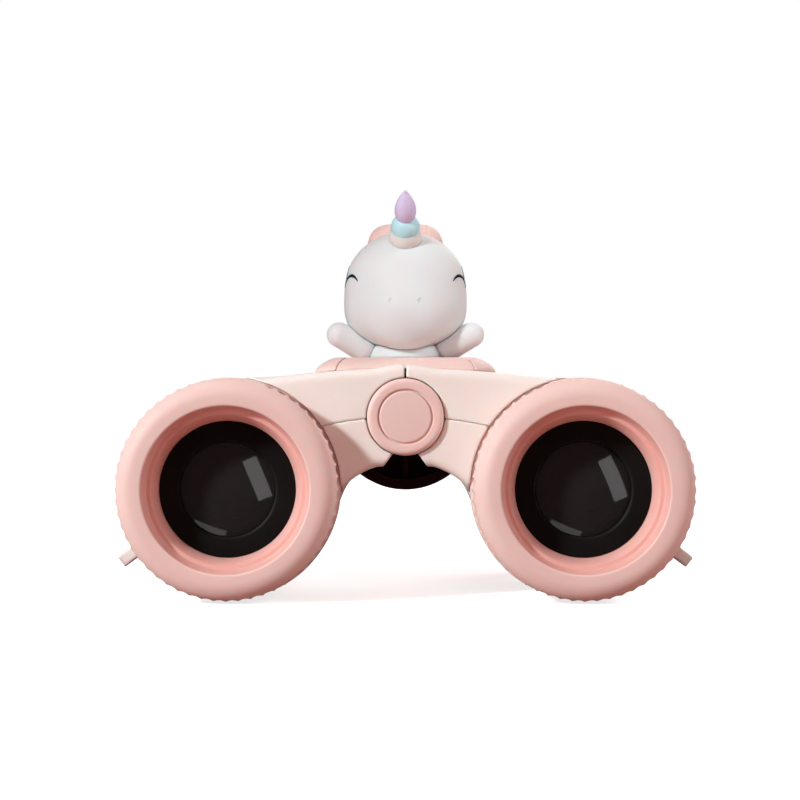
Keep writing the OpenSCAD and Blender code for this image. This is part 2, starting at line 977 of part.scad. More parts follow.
module horn_base_shape() {
    difference() {
        horn_ball(horn_base_c, horn_r);
        horn_ball(horn_mid_c, horn_mid_r + seat_fit);
    }
}

module horn_middle_shape() {
    difference() {
        horn_ball(horn_mid_c, horn_mid_r);
        horn_drop(seat_fit);
    }
}

module horn_drop(grow) {
    h = horn_tip_h - horn_nub_r;
    horn_at(horn_tip_c)
        rotate_extrude($fn = 64)
            polygon(concat([[0, -horn_tip_low - grow]],
                arc_points([0, 0], horn_tip_r + grow, horn_tip_low + grow, -80, 0, 8),
                [for (i = [1 : 9])
                    let (t = i / 10)
                    [horn_nub_r + grow + (horn_tip_r - horn_nub_r) * (1 - pow(t, 1.8)), h * t]],
                arc_points([0, h], horn_nub_r + grow, horn_nub_r + grow, 0, 80, 4),
                [[0, h + horn_nub_r + grow]]));
}

module horn_tip_shape() {
    horn_drop(0);
}

module hand_shape() {
    difference() {
        hull() {
            ball([-hand_x, figure_y - 2.5, saddle_top + hand_z], hand_r);
            ball([-trunk_r - 1.2, figure_y - 0.5, saddle_top + elbow_r - 0.6], elbow_r);
        }
        trunk_egg(0.05);
        head_solid(0.1);
        translate([-big / 2, -big / 2, saddle_top - big])
            cube([big, big, big]);
    }
}

module tail_shape() {
    difference() {
        hull() {
            ball([0, tail_y, saddle_top + tail_up], tail_r);
            ball([0, figure_y + trunk_r + 0.8, saddle_top + tail_up - 0.2], tail_root_r);
        }
        trunk_egg(0.05);
        translate([-big / 2, -big / 2, saddle_top - big])
            cube([big, big, big]);
    }
}

steel_rgb = [0.75, 0.75, 0.77];
pink_rgb = [0.92, 0.68, 0.65];
pale_pink_rgb = [0.93, 0.70, 0.67];
grey_rgb = [0.35, 0.33, 0.33];
white_rgb = [0.94, 0.93, 0.93];
peach_rgb = [0.94, 0.86, 0.82];
sky_rgb = [0.66, 0.84, 0.88];
lilac_rgb = [0.80, 0.70, 0.88];
wine_rgb = [0.45, 0.20, 0.19];
dark_grey_rgb = [0.30, 0.28, 0.28];
cream_rgb = [0.93, 0.88, 0.85];
cream_low_rgb = [0.92, 0.86, 0.83];
black_rgb = [0.09, 0.09, 0.09];
coated_rgb = [0.30, 0.32, 0.36];
soft_black_rgb = [0.12, 0.12, 0.12];
cage_black_rgb = [0.15, 0.15, 0.15];
glass_rgb = [0.80, 0.86, 0.90];

module hinge_pin() {
    color(steel_rgb)
        place()
            hinge_pin_shape();
}

module hinge_cap() {
    color(pink_rgb)
        place()
            hinge_cap_shape();
}

module cap_disc() {
    color(pale_pink_rgb)
        place()
            cap_disc_shape();
}

module core_block() {
    color(grey_rgb)
        place()
            core_block_shape();
}

module saddle() {
    color(pale_pink_rgb)
        place()
            saddle_shape();
}

module saddle_panel() {
    color(pink_rgb)
        place()
            saddle_panel_shape();
}

module saddle_screws() {
    color(steel_rgb)
        place()
            saddle_screws_shape();
}

module trunk() {
    color(white_rgb)
        place()
            trunk_shape();
}

module head() {
    color(white_rgb)
        place()
            head_shape();
}

module mane() {
    color(pink_rgb)
        place()
            mane_shape();
}

module horn_base() {
    color(peach_rgb)
        place()
            horn_base_shape();
}

module horn_middle() {
    color(sky_rgb)
        place()
            horn_middle_shape();
}

module horn_tip() {
    color(lilac_rgb)
        place()
            horn_tip_shape();
}

module left_hand() {
    color(white_rgb)
        place()
            hand_shape();
}

module right_hand() {
    color(white_rgb)
        place()
            to_right()
                hand_shape();
}

module tail() {
    color(pink_rgb)
        place()
            tail_shape();
}

module focus_wheel() {
    color(wine_rgb)
        place()
            focus_wheel_shape();
}

module wheel_keeper() {
    color(dark_grey_rgb)
        place()
            wheel_keeper_shape();
}

module focus_spindle() {
    color(steel_rgb)
        place()
            focus_spindle_shape();
}

module spindle_cap() {
    color(pink_rgb)
        place()
            spindle_cap_shape();
}

module left_upper_shell() {
    color(cream_rgb)
        place()
            upper_shell_shape(l1_y, l2_y);
}

module left_lower_shell() {
    color(cream_low_rgb)
        place()
            lower_shell_shape(l1_y, l2_y);
}

module left_shell_screws() {
    color(steel_rgb)
        place()
            shell_screws_shape();
}

module left_objective_ring() {
    color(pink_rgb)
        place()
            objective_ring_shape();
}

module left_lens_cell() {
    color(black_rgb)
        place()
            lens_cell_shape();
}

module left_objective_lens() {
    color(coated_rgb)
        place()
            objective_lens_shape();
}

module left_lens_retainer() {
    color(soft_black_rgb)
        place()
            lens_retainer_shape();
}

module left_prism_cage() {
    color(cage_black_rgb)
        place()
            prism_cage_shape();
}

module left_prism() {
    color(glass_rgb)
        place()
            prism_shape();
}

module left_eyepiece_tube() {
    color(soft_black_rgb)
        place()
            eyepiece_tube_shape();
}

module left_field_lens() {
    color(glass_rgb)
        place()
            field_lens_shape();
}

module left_eye_lens() {
    color(glass_rgb)
        place()
            eye_lens_shape();
}

module left_eye_retainer() {
    color(soft_black_rgb)
        place()
            eye_retainer_shape();
}

module left_bridge_arm() {
    color(cream_rgb)
        place()
            bridge_arm_shape(bridge_y);
}

module left_eyecup() {
    color(pink_rgb)
        place()
            eyecup_shape();
}

module right_upper_shell() {
    color(cream_rgb)
        place()
            to_right()
                upper_shell_shape(r1_y, r2_y);
}

module right_lower_shell() {
    color(cream_low_rgb)
        place()
            to_right()
                lower_shell_shape(r1_y, r2_y);
}

module right_shell_screws() {
    color(steel_rgb)
        place()
            to_right()
                shell_screws_shape();
}

module right_objective_ring() {
    color(pink_rgb)
        place()
            to_right()
                objective_ring_shape();
}

module right_lens_cell() {
    color(black_rgb)
        place()
            to_right()
                lens_cell_shape();
}

module right_objective_lens() {
    color(coated_rgb)
        place()
            to_right()
                objective_lens_shape();
}

module right_lens_retainer() {
    color(soft_black_rgb)
        place()
            to_right()
                lens_retainer_shape();
}

module right_prism_cage() {
    color(cage_black_rgb)
        place()
            to_right()
                prism_cage_shape();
}

module right_prism() {
    color(glass_rgb)
        place()
            to_right()
                prism_shape();
}

module right_eyepiece_tube() {
    color(soft_black_rgb)
        place()
            to_right()
                eyepiece_tube_shape();
}

module right_field_lens() {
    color(glass_rgb)
        place()
            to_right()
                field_lens_shape();
}

module right_eye_lens() {
    color(glass_rgb)
        place()
            to_right()
                eye_lens_shape();
}

module right_eye_retainer() {
    color(soft_black_rgb)
        place()
            to_right()
                eye_retainer_shape();
}

module right_bridge_arm() {
    color(cream_rgb)
        place()
            to_right()
                bridge_arm_shape(bridge_y + bridge_t + bridge_gap);
}

module right_eyecup() {
    color(pink_rgb)
        place()
            to_right()
                eyecup_shape();
}

hinge_pin();
hinge_cap();
cap_disc();
core_block();
saddle();
saddle_panel();
saddle_screws();
trunk();
head();
mane();
horn_base();
horn_middle();
horn_tip();
left_hand();
right_hand();
tail();
focus_wheel();
wheel_keeper();
focus_spindle();
spindle_cap();

left_upper_shell();
left_lower_shell();
left_shell_screws();
left_objective_ring();
left_lens_cell();
left_objective_lens();
left_lens_retainer();
left_prism_cage();
left_prism();
left_eyepiece_tube();
left_field_lens();
left_eye_lens();
left_eye_retainer();
left_bridge_arm();
left_eyecup();

right_upper_shell();
right_lower_shell();
right_shell_screws();
right_objective_ring();
right_lens_cell();
right_objective_lens();
right_lens_retainer();
right_prism_cage();
right_prism();
right_eyepiece_tube();
right_field_lens();
right_eye_lens();
right_eye_retainer();
right_bridge_arm();
right_eyecup();
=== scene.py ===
import json
import math

import bpy
import numpy as np
from mathutils import Matrix, Vector

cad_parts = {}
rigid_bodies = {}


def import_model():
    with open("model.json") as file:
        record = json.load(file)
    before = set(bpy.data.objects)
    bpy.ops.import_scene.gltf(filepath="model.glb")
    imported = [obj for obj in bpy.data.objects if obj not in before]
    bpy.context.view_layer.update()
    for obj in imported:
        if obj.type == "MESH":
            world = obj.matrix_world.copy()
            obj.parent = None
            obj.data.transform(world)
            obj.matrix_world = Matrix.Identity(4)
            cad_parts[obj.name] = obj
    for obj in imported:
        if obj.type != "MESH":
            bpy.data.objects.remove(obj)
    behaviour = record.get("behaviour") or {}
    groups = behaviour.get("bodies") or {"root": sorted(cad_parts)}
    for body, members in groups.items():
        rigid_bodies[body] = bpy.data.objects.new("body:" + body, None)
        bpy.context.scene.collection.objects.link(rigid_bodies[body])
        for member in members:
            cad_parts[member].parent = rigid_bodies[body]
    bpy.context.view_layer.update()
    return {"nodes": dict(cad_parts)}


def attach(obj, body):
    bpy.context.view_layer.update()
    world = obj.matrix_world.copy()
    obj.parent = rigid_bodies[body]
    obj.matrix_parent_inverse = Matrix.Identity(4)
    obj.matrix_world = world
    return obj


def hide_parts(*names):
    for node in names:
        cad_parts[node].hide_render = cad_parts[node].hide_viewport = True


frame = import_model()
nodes = frame["nodes"]
scene = bpy.context.scene

# Lengths are millimetres in the hinge frame: x = z = 0 on the hinge axis, y = 0 at the ring front.
# A shape that differs from side to side is drawn for the left half, at negative x, and mirrored.
MM = 0.001
BX, RISE = 37.1, 15.1                       # barrel axis: beside the hinge axis and below it
RING_R = 23.4
LIFT = RISE + RING_R                        # hinge axis above the floor
HALF_LEN = 45.05
ORIGIN = np.array([0.0, -HALF_LEN, LIFT])   # from the hinge frame to the part's own frame
BARREL = {-1: (-BX, -RISE), 1: (BX, -RISE)}
SIDE = {-1: "left", 1: "right"}


# Materials

MOTTLE = 60.0                               # noise scale of the colour mottling, per metre
WORN_FROM, WORN_TO, WORN_TONE = 0.52, 0.62, 1.12
MIX_A, MIX_B, MIX_OUT = 6, 7, 2             # colour sockets of the Mix node
BRUSHED = (900, 60, 900)
GLASS_ROUGH, GLASS_IOR = 0.02, 1.5


def srgb(r, g, b):
    def lin(c):
        c = c / 255.0
        return c / 12.92 if c <= 0.04045 else ((c + 0.055) / 1.055) ** 2.4
    return (lin(r), lin(g), lin(b), 1.0)


def shade(c, k):
    return (min(1, c[0] * k), min(1, c[1] * k), min(1, c[2] * k), 1.0)


class Mat:
    """A node material with its Principled shader, b, and node tree, t."""

    def __init__(self, name):
        self.m = bpy.data.materials.new(name)
        self.m.use_nodes = True
        self.t = self.m.node_tree
        self.b = self.t.nodes["Principled BSDF"]

    def node(self, kind, **values):
        n = self.t.nodes.new(kind)
        for k, v in values.items():
            if k in n.inputs:
                n.inputs[k].default_value = v
            else:
                setattr(n, k, v)
        return n

    def link(self, a, ao, b, bi):
        self.t.links.new(a.outputs[ao], b.inputs[bi])

    def set(self, **values):
        for k, v in values.items():
            self.b.inputs[k.replace("_", " ")].default_value = v

    def noise(self, source, socket, **values):
        n = self.node("ShaderNodeTexNoise", **values)
        self.link(source, socket, n, "Vector")
        return n

    def tones(self, source, low, high, ends=(0.0, 1.0)):
        ramp = self.node("ShaderNodeValToRGB")
        for stop, place, color in zip(ramp.color_ramp.elements, ends, (low, high)):
            stop.position = place
            stop.color = color
        self.link(source, "Fac", ramp, "Fac")
        return ramp

    def spread(self, source, socket, **values):
        """Map Range node; the names in values use _ for a space."""
        n = self.node("ShaderNodeMapRange", **{k.replace("_", " "): v for k, v in values.items()})
        self.link(source, socket, n, "Value")
        return n

    def gloss(self, source, low, high):
        self.link(self.spread(source, "Fac", To_Min=low, To_Max=high), "Result", self.b, "Roughness")

    def relief(self, source, strength, distance):
        bump = self.node("ShaderNodeBump", Strength=strength, Distance=distance)
        self.link(source, "Fac", bump, "Height")
        self.link(bump, "Normal", self.b, "Normal")


def moulded(name, color, rough, vary, grain, bump, edge=0.0, **extra):
    """Moulded plastic or rubber: soft colour mottling, a fine grain, uneven gloss, paler worn edges."""
    a = Mat(name)
    co = a.node("ShaderNodeTexCoord")
    mottle = a.noise(co, "Object", Scale=MOTTLE, Detail=4.0, Roughness=0.55)
    tone = a.tones(mottle, shade(color, 1 - vary), shade(color, 1 + vary), (0.3, 0.7))
    if edge > 0:
        worn = a.spread(a.node("ShaderNodeNewGeometry"), "Pointiness",
                        From_Min=WORN_FROM, From_Max=WORN_TO, To_Max=edge)
        mix = a.node("ShaderNodeMix", data_type="RGBA")
        mix.inputs[MIX_B].default_value = shade(color, WORN_TONE)
        a.link(worn, "Result", mix, 0)
        a.link(tone, "Color", mix, MIX_A)
        a.link(mix, MIX_OUT, a.b, "Base Color")
    else:
        a.link(tone, "Color", a.b, "Base Color")
    a.gloss(a.noise(co, "Object", Scale=MOTTLE * 2.3, Detail=3.0), rough - 0.05, rough + 0.07)
    a.relief(a.noise(co, "Object", Scale=grain, Detail=2.0), bump, 0.0002)
    a.set(**extra)
    return a.m


def metal(name, color, rough=0.3):
    """Metal with fine turning marks."""
    a = Mat(name)
    stretch = a.node("ShaderNodeMapping", Scale=BRUSHED)
    a.link(a.node("ShaderNodeTexCoord"), "Object", stretch, "Vector")
    marks = a.noise(stretch, "Vector", Scale=1.0, Detail=5.0)
    a.link(a.tones(marks, shade(color, 0.82), color), "Color", a.b, "Base Color")
    a.gloss(marks, rough - 0.08, rough + 0.1)
    a.relief(marks, 0.08, 0.0001)
    a.set(Metallic=1.0)
    return a.m


def lens_glass(name, tint, spec, clear=1.0):
    """Coated glass: clear through, faint dust and a thin tint that varies over the lens."""
    a = Mat(name)
    dust = a.noise(a.node("ShaderNodeTexCoord"), "Object", Scale=180.0, Detail=4.0)
    a.link(a.tones(dust, shade(tint, 0.9), shade(tint, 1.1)), "Color", a.b, "Base Color")
    a.gloss(dust, GLASS_ROUGH, GLASS_ROUGH + 0.03)
    a.set(Transmission_Weight=clear, IOR=GLASS_IOR, Specular_IOR_Level=spec)
    return a.m


PINK = (0.85, 0.595, 0.545, 1.0)
# Deeper pink for the ring's throat: painted shade, which stands for the shadow that falls in the funnel.
THROAT_SHADE_PINK = (0.85, 0.44, 0.385, 1.0)
CREAM = (0.90, 0.795, 0.745, 1.0)
WHITE = (0.77, 0.77, 0.77, 1.0)
BLACK = (0.009, 0.0086, 0.0086, 1.0)
STEEL = (0.62, 0.62, 0.64, 1.0)
LENS_TINT = (0.10, 0.095, 0.098, 1.0)
CLEAR_TINT = (0.86, 0.9, 0.92, 1.0)
GLOW = (1.0, 0.24, 0.15)
SATIN = {"Specular_IOR_Level": 0.3}


def soft(weight, scale):
    """Satin surface with light that sinks into the plastic and comes out red."""
    return {"Subsurface_Weight": weight, "Subsurface_Scale": scale, "Subsurface_Radius": GLOW, **SATIN}


M = {
    "ring": moulded("pink_rubber", PINK, rough=0.5, vary=0.025, grain=1500, bump=0.10, edge=0.15,
                    **soft(0.5, 0.0012)),
    # The throat's deeper pink is painted shade for the shadowed funnel, not a different rubber.
    "throat": moulded("pink_rubber_throat", THROAT_SHADE_PINK, rough=0.5, vary=0.025, grain=1500, bump=0.10,
                      **soft(0.5, 0.0012)),
    "pink": moulded("pink_plastic", PINK, rough=0.42, vary=0.02, grain=1200, bump=0.05, edge=0.15,
                    **soft(0.5, 0.0007)),
    "cream": moulded("cream_plastic", CREAM, rough=0.4, vary=0.015, grain=1300, bump=0.05, edge=0.1,
                     **soft(0.5, 0.0009)),
    "white": moulded("white_vinyl", WHITE, rough=0.48, vary=0.012, grain=1000, bump=0.05, **soft(0.5, 0.0025)),
    "mane": moulded("pink_vinyl", PINK, rough=0.48, vary=0.03, grain=1000, bump=0.06, **soft(0.5, 0.002)),
    "peach": moulded("peach_vinyl", srgb(248, 236, 231), rough=0.45, vary=0.02, grain=1200, bump=0.08,
                     **soft(0.4, 0.002)),
    "blue": moulded("blue_vinyl", srgb(194, 234, 241), rough=0.45, vary=0.03, grain=1200, bump=0.08, **SATIN),
    "purple": moulded("purple_vinyl", srgb(227, 211, 244), rough=0.45, vary=0.03, grain=1200, bump=0.08, **SATIN),
    "black": moulded("black_plastic", BLACK, rough=0.5, vary=0.2, grain=1500, bump=0.06, Specular_IOR_Level=0.08),
    "ink": moulded("black_paint", srgb(22, 20, 21), rough=0.35, vary=0.15, grain=2000, bump=0.05),
    # Near-black wine colour: painted shade, standing for the deep shadow that the wheel sits in behind the bridge.
    "wheel": moulded("wheel_plastic", srgb(46, 18, 16), rough=0.5, vary=0.1, grain=1200, bump=0.08, edge=0.2,
                     Specular_IOR_Level=0.15),
    "core": moulded("grey_nylon", srgb(60, 57, 57), rough=0.55, vary=0.06, grain=900, bump=0.08),
    "steel": metal("bare_steel", STEEL),
    "lens": lens_glass("lens_glass", LENS_TINT, spec=0.3, clear=0.82),
    "glass": lens_glass("clear_glass", CLEAR_TINT, spec=0.4),
    # Faint grey crescent on the nostrils: a painted shadow along the upper and left wall of each dent.
    "dent": moulded("nostril_shade", srgb(221, 216, 215), rough=0.6, vary=0.05, grain=900, bump=0.04),
}


# Mesh makers

ON_AXIS = 1e-9
CORNERS = [(i, j, k) for i in (0, 1) for j in (0, 1) for k in (0, 1)]
RELAX_STEPS, RELAX = 3, 0.6                 # smoothing passes of a field mesh, and how far each goes
PROBE = 0.02                                # half step of a field's slope


def piece(name, verts, faces, mat, body, *replaced, angle=None):
    """A smooth mesh that rides on a body, with edges sharper than angle kept sharp."""
    me = bpy.data.meshes.new(name)
    co = (np.asarray(verts, float) + ORIGIN) * MM
    me.from_pydata([tuple(v) for v in co], [], [tuple(int(i) for i in f) for f in faces])
    me.validate()
    me.polygons.foreach_set("use_smooth", [True] * len(me.polygons))
    if angle:
        me.set_sharp_from_angle(angle=math.radians(angle))
    me.materials.append(M[mat])
    ob = bpy.data.objects.new(name, me)
    scene.collection.objects.link(ob)
    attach(ob, body)
    if replaced:
        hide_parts(*replaced)
    return ob


def arc(c, a, b, start, end, n):
    t = np.radians(np.linspace(start, end, n + 1))
    return [(c[0] + a * math.cos(v), c[1] + b * math.sin(v)) for v in t]


def weld(verts, faces):
    """Joins points that lie together and drops faces that collapse."""
    uniq, inv = np.unique(np.round(verts, 5), axis=0, return_inverse=True)
    inv = inv.ravel()
    out = []
    for f in faces:
        g = list(dict.fromkeys(int(inv[i]) for i in f))
        if len(g) > 2:
            out.append(g)
    return uniq, out


def revolve(profile, seg, centre=(0, 0), closed=True, wobble=None):
    """Turns (r, y) points round the Y axis through centre. wobble(r, y, angle) may move a point."""
    p = np.array(profile, float)
    n = len(p)
    R = np.repeat(p[None, :, 0], seg, 0)
    Y = np.repeat(p[None, :, 1], seg, 0)
    T = np.repeat(np.linspace(0, 2 * math.pi, seg, endpoint=False)[:, None], n, 1)
    if wobble:
        R = wobble(R, Y, T)
    verts = np.stack([centre[0] + R * np.cos(T), Y, centre[1] + R * np.sin(T)], -1).reshape(-1, 3)
    faces = []
    for i in range(seg):
        a, b = i * n, ((i + 1) % seg) * n
        for j in range(n if closed else n - 1):
            k = (j + 1) % n
            if max(p[j, 0], p[k, 0]) >= ON_AXIS:
                faces.append((a + j, b + j, b + k, a + k))
    return weld(verts, faces)


def mirror(verts, faces):
    v = np.array(verts, float)
    v[:, 0] *= -1
    return v, [list(f)[::-1] for f in faces]


# Fields: functions of x, y, z that are below zero inside a shape

def smin(a, b, k):
    """Union with a fillet of size k."""
    h = np.clip(0.5 + 0.5 * (b - a) / k, 0, 1)
    return b * (1 - h) + a * h - k * h * (1 - h)


def smax(a, b, k):
    """Intersection with a rounding of size k."""
    return -smin(-a, -b, k)


def round_box(qx, qz, c):
    """Rectangle with corners of radius c; qx and qz count from the corners' centres."""
    return np.sqrt(np.maximum(qx, 0) ** 2 + np.maximum(qz, 0) ** 2) + np.minimum(np.maximum(qx, qz), 0) - c


def egg(x, y, z, c, r):
    px, py, pz = x - c[0], y - c[1], z - c[2]
    k0 = np.sqrt((px / r[0]) ** 2 + (py / r[1]) ** 2 + (pz / r[2]) ** 2) + 1e-9
    k1 = np.sqrt((px / r[0] ** 2) ** 2 + (py / r[1] ** 2) ** 2 + (pz / r[2] ** 2) ** 2) + 1e-9
    return k0 * (k0 - 1) / k1


def capsule(x, y, z, a, b, ra, rb):
    a, b = np.array(a, float), np.array(b, float)
    d = b - a
    t = np.clip(((x - a[0]) * d[0] + (y - a[1]) * d[1] + (z - a[2]) * d[2]) / d.dot(d), 0, 1)
    q = np.sqrt((x - a[0] - t * d[0]) ** 2 + (y - a[1] - t * d[1]) ** 2 + (z - a[2] - t * d[2]) ** 2)
    return q - (ra + (rb - ra) * t)


def cell_points(F, cells):
    """One point for each grid cell that the surface crosses: the mean of its edge crossings."""
    total, count = np.zeros((len(cells), 3)), np.zeros(len(cells))
    for a in CORNERS:
        for d in range(3):
            if a[d]:
                continue
            b = list(a)
            b[d] = 1
            fa = F[cells[:, 0] + a[0], cells[:, 1] + a[1], cells[:, 2] + a[2]]
            fb = F[cells[:, 0] + b[0], cells[:, 1] + b[1], cells[:, 2] + b[2]]
            m = (fa < 0) != (fb < 0)
            t = np.where(m, fa / np.where(m, fa - fb, 1), 0)
            p = np.array(a, float)[None, :] + t[:, None] * (np.array(b) - np.array(a))[None, :]
            total[m] += p[m]
            count[m] += 1
    return total / count[:, None]


def cell_quads(inside, index):
    """One quad round each grid edge that the surface crosses."""
    n = inside.shape
    quads = []
    for d in range(3):
        e1, e2 = (d + 1) % 3, (d + 2) % 3
        near, far = [slice(None)] * 3, [slice(None)] * 3
        near[d], far[d] = slice(0, -1), slice(1, None)
        A, B = inside[tuple(near)], inside[tuple(far)]
        ed = np.argwhere(A != B)
        ed = ed[(ed[:, e1] > 0) & (ed[:, e2] > 0) & (ed[:, e1] < n[e1] - 1) & (ed[:, e2] < n[e2] - 1)]
        out = ~A[tuple(ed.T)]
        q = []
        for o1, o2 in ((-1, -1), (0, -1), (0, 0), (-1, 0)):
            c = ed.copy()
            c[:, e1] += o1
            c[:, e2] += o2
            q.append(index[tuple(c.T)])
        q = np.stack(q, 1)
        q[out] = q[out][:, ::-1]
        quads.append(q)
    return np.concatenate(quads)


def project(f, P, h):
    """One step of the points towards f = 0, at most a part of the grid step h."""
    v = f(*P.T)
    g = np.stack([f(*(P + d).T) - f(*(P - d).T) for d in np.eye(3) * PROBE], 1) / (2 * PROBE)
    steep = np.maximum((g ** 2).sum(1), 0.05)
    step = np.clip(v / steep, -h, h)[:, None] * g
    return P - np.clip(step, -0.6 * h, 0.6 * h)


def field_mesh(f, lo, hi, h):
    """Closed quad mesh of f = 0 on a grid of step h, smoothed along the surface."""
    lo, hi = np.array(lo, float), np.array(hi, float)
    n = np.ceil((hi - lo) / h).astype(int) + 1
    ax = [(lo[i] + h * np.arange(n[i])).astype(np.float32) for i in range(3)]
    F = f(ax[0][:, None, None], ax[1][None, :, None], ax[2][None, None, :])
    F = np.ascontiguousarray(np.broadcast_to(F, tuple(n)), np.float32)
    inside = F < 0
    count = np.zeros(tuple(n - 1), np.int8)
    for i, j, k in CORNERS:
        count += inside[i:n[0] - 1 + i, j:n[1] - 1 + j, k:n[2] - 1 + k]
    cells = np.argwhere((count > 0) & (count < len(CORNERS)))
    index = -np.ones(tuple(n - 1), np.int64)
    index[tuple(cells.T)] = np.arange(len(cells))
    V = lo + h * (cells + cell_points(F, cells))
    Q = cell_quads(inside, index)
    edges = np.concatenate([Q[:, [0, 1]], Q[:, [1, 2]], Q[:, [2, 3]], Q[:, [3, 0]]])
    deg = np.bincount(edges.ravel(), minlength=len(V)).astype(float)
    for _ in range(RELAX_STEPS):
        near = np.zeros_like(V)
        for c in range(3):
            near[:, c] = (np.bincount(edges[:, 0], V[edges[:, 1], c], len(V))
                          + np.bincount(edges[:, 1], V[edges[:, 0], c], len(V)))
        V = project(f, V + RELAX * (near / np.maximum(deg, 1)[:, None] - V), h)
    for _ in range(2):
        V = project(f, V, h)
    return V, Q


# Objective rings, cells and lenses

OPEN_R, STEP_R, SHOULDER_R, THROAT_R = 17.3, 16.4, 15.7, 14.3
BAND_R, FLUTES, FLUTE = RING_R - 0.22, 56, 0.42
RING_LEN, FLANGE_Y = 15.9, 11.4
NOSE = 4.0                                  # rounding of the ring's front
SEAT_R, SEAT_Y = 20.05, 8.0                 # where the ring sits on the housing's neck
LENS_RIM, FRONT_SAG, REAR_SAG = 12.2, 2.0, 0.8
FRONT_EDGE, REAR_EDGE = 7.95, 9.55
ring_profile = (
    arc((OPEN_R + 0.5, 0.5), 0.5, 0.5, 180, 270, 8)
    + arc((BAND_R - NOSE, NOSE), NOSE, NOSE, 272, 360, 26)
    + [(BAND_R, y) for y in np.linspace(NOSE + 0.3, FLANGE_Y - 0.05, 26)]
    + arc((RING_R - 0.35, FLANGE_Y + 0.35), 0.35, 0.35, 270, 360, 5)
    + arc((RING_R - 0.6, RING_LEN - 0.6), 0.6, 0.6, 0, 90, 6)
    + [(SEAT_R, RING_LEN), (SEAT_R, SEAT_Y), (THROAT_R, SEAT_Y), (THROAT_R, 6.2)]
    + arc((SHOULDER_R + 0.12, 3.32), 0.2, 0.2, 200, 270, 3)
    + [(STEP_R - 0.25, 3.1)]
    + arc((STEP_R - 0.05, 2.85), 0.2, 0.2, 90, 10, 3))
cell_profile = (
    [(10.05, 6.75)] + arc((10.6, 6.55), 0.35, 0.35, 180, 270, 4) + arc((13.95, 6.45), 0.25, 0.25, 270, 360, 4)
    + [(14.2, 8.1), (17.75, 8.1), (17.75, 11), (14.2, 11), (14.2, 14), (12.25, 14), (12.25, 7.3), (10.6, 7.3)])


def flutes(R, Y, T):
    """Scoops out of the ring's band, which run out just before the flange."""
    u = (T * FLUTES / (2 * math.pi)) % 1.0 - 0.5
    scoop = 1 - (2 * u) ** 2
    zone = (Y < FLANGE_Y) & (R > BAND_R - 3) & (Y > 0.05)
    tail = np.clip((FLANGE_Y - Y) / 0.5, 0, 1)
    limit = BAND_R - FLUTE * scoop * np.sqrt(np.clip(1 - (1 - tail) ** 2, 0, 1))
    return np.where(zone, np.minimum(R, limit), R)


def sphere_r(rim, sag):
    return (rim ** 2 + sag ** 2) / (2 * sag)


def lens_face(rim, sag, edge_y, way, n):
    """Profile of a lens face from its middle to its rim at edge_y; it bulges along Y by way * sag."""
    r = sphere_r(rim, sag)
    return [(r * math.sin(a), edge_y + way * (sag - r * (1 - math.cos(a))))
            for a in np.linspace(0, math.asin(rim / r), n)]


lens_dome, dull = {}, []
lens_profile = (lens_face(LENS_RIM, FRONT_SAG, FRONT_EDGE, -1, 40)
                + lens_face(LENS_RIM, REAR_SAG, REAR_EDGE, 1, 24)[::-1])
for s in (-1, 1):
    c, half = BARREL[s], SIDE[s] + "_half"
    v, f = revolve(ring_profile, FLUTES * 14, c, wobble=flutes)
    ring = piece(SIDE[s] + "_ring_rubber", v, f, "ring", half, SIDE[s] + "_objective_ring", angle=38)
    # Faces inside the opening take the throat material: painted shade where the funnel lies in shadow.
    ring.data.materials.append(M["throat"])
    reach = np.hypot(v[:, 0] - c[0], v[:, 2] - c[1])
    for poly in ring.data.polygons:
        if reach[list(poly.vertices)].max() < OPEN_R + 0.12:
            poly.material_index = 1
    v, f = revolve(cell_profile, 160, c)
    dull.append(piece(SIDE[s] + "_cell_black", v, f, "black", half, SIDE[s] + "_lens_cell", angle=40))
    v, f = revolve(lens_profile, 128, c, closed=False)
    lens_dome[s] = piece(SIDE[s] + "_lens_dome", v, f, "lens", half, SIDE[s] + "_objective_lens", angle=50)


# Housing shells

ARM_FRONT, ARM_REAR, ARM_TOP = 10.6, 43.0, 10.3
TOP_CURVE = 200                             # radius of the arm's crowned top
ARCH_R, ARCH_Z = 19.6, 29.2                 # arch under the bridge and its centre below the hinge
HUB_R = 11.1
HOUSE_END, BARREL_R, WALL = 56.0, 22.0, 2.2
TAPER_Y, TAPER_LEN, TAPER = 34.0, 19.0, 3.6
NECK_R, NECK_Y, NECK_END = 20.0, 8.0, 20
SLIT = 0.2                                  # half of the gap between the halves
V_NORMAL, V_TOP, V_FROM = (0.8085, -0.5885), 4.15, -2
HOLE_R, KNUCKLE_R, KNUCKLE_W = 8.55, 8.25, 4.675
HOLE_FRONT, HOLE_SNUG, HOLE_BACK = 13.6, 0.25, 0.1  # the hole is tighter round the cap than behind it
KNUCKLES = {-1: (14.3, 37.525), 1: (19.175, 32.65)}
PIN_HOLE_R = 3.05
CORE_Y, CORE_W, CORE_HALF, CORE_GAP = 24.05, 8.4, 6.1, 0.2
LUG, LUG_OFF, LUG_Y = math.radians(37.7), 2.03, 26
LUG_ROOT, LUG_EYE, LUG_R, LUG_T = 17, 24.9, 5.0, 2.6
STRAP_U, STRAP_R = 25.5, 1.75
SCREW_X, SCREW_Y, POST_R = 15, (22.2, 38.0), 3.3
SHANK_R, SHANK_TOP, HEAD_R, HEAD_TOP = 1.25, 4.5, 2.3, -8.6
BORE_Y = [0, 11.1, 11.11, 13, 13.01, 36, 45.5, 45.51, 60]
BORE_R = [17.8, 17.8, 14.8, 14.8, 19.5, 19.5, 15.8, 13.25, 13.25]
SEAM_R, SEAM_GAP, SEAM_ROUND = 81, 0.025, 0.06
DEEP = -9.0                                 # a field value well inside
STEP = 0.42
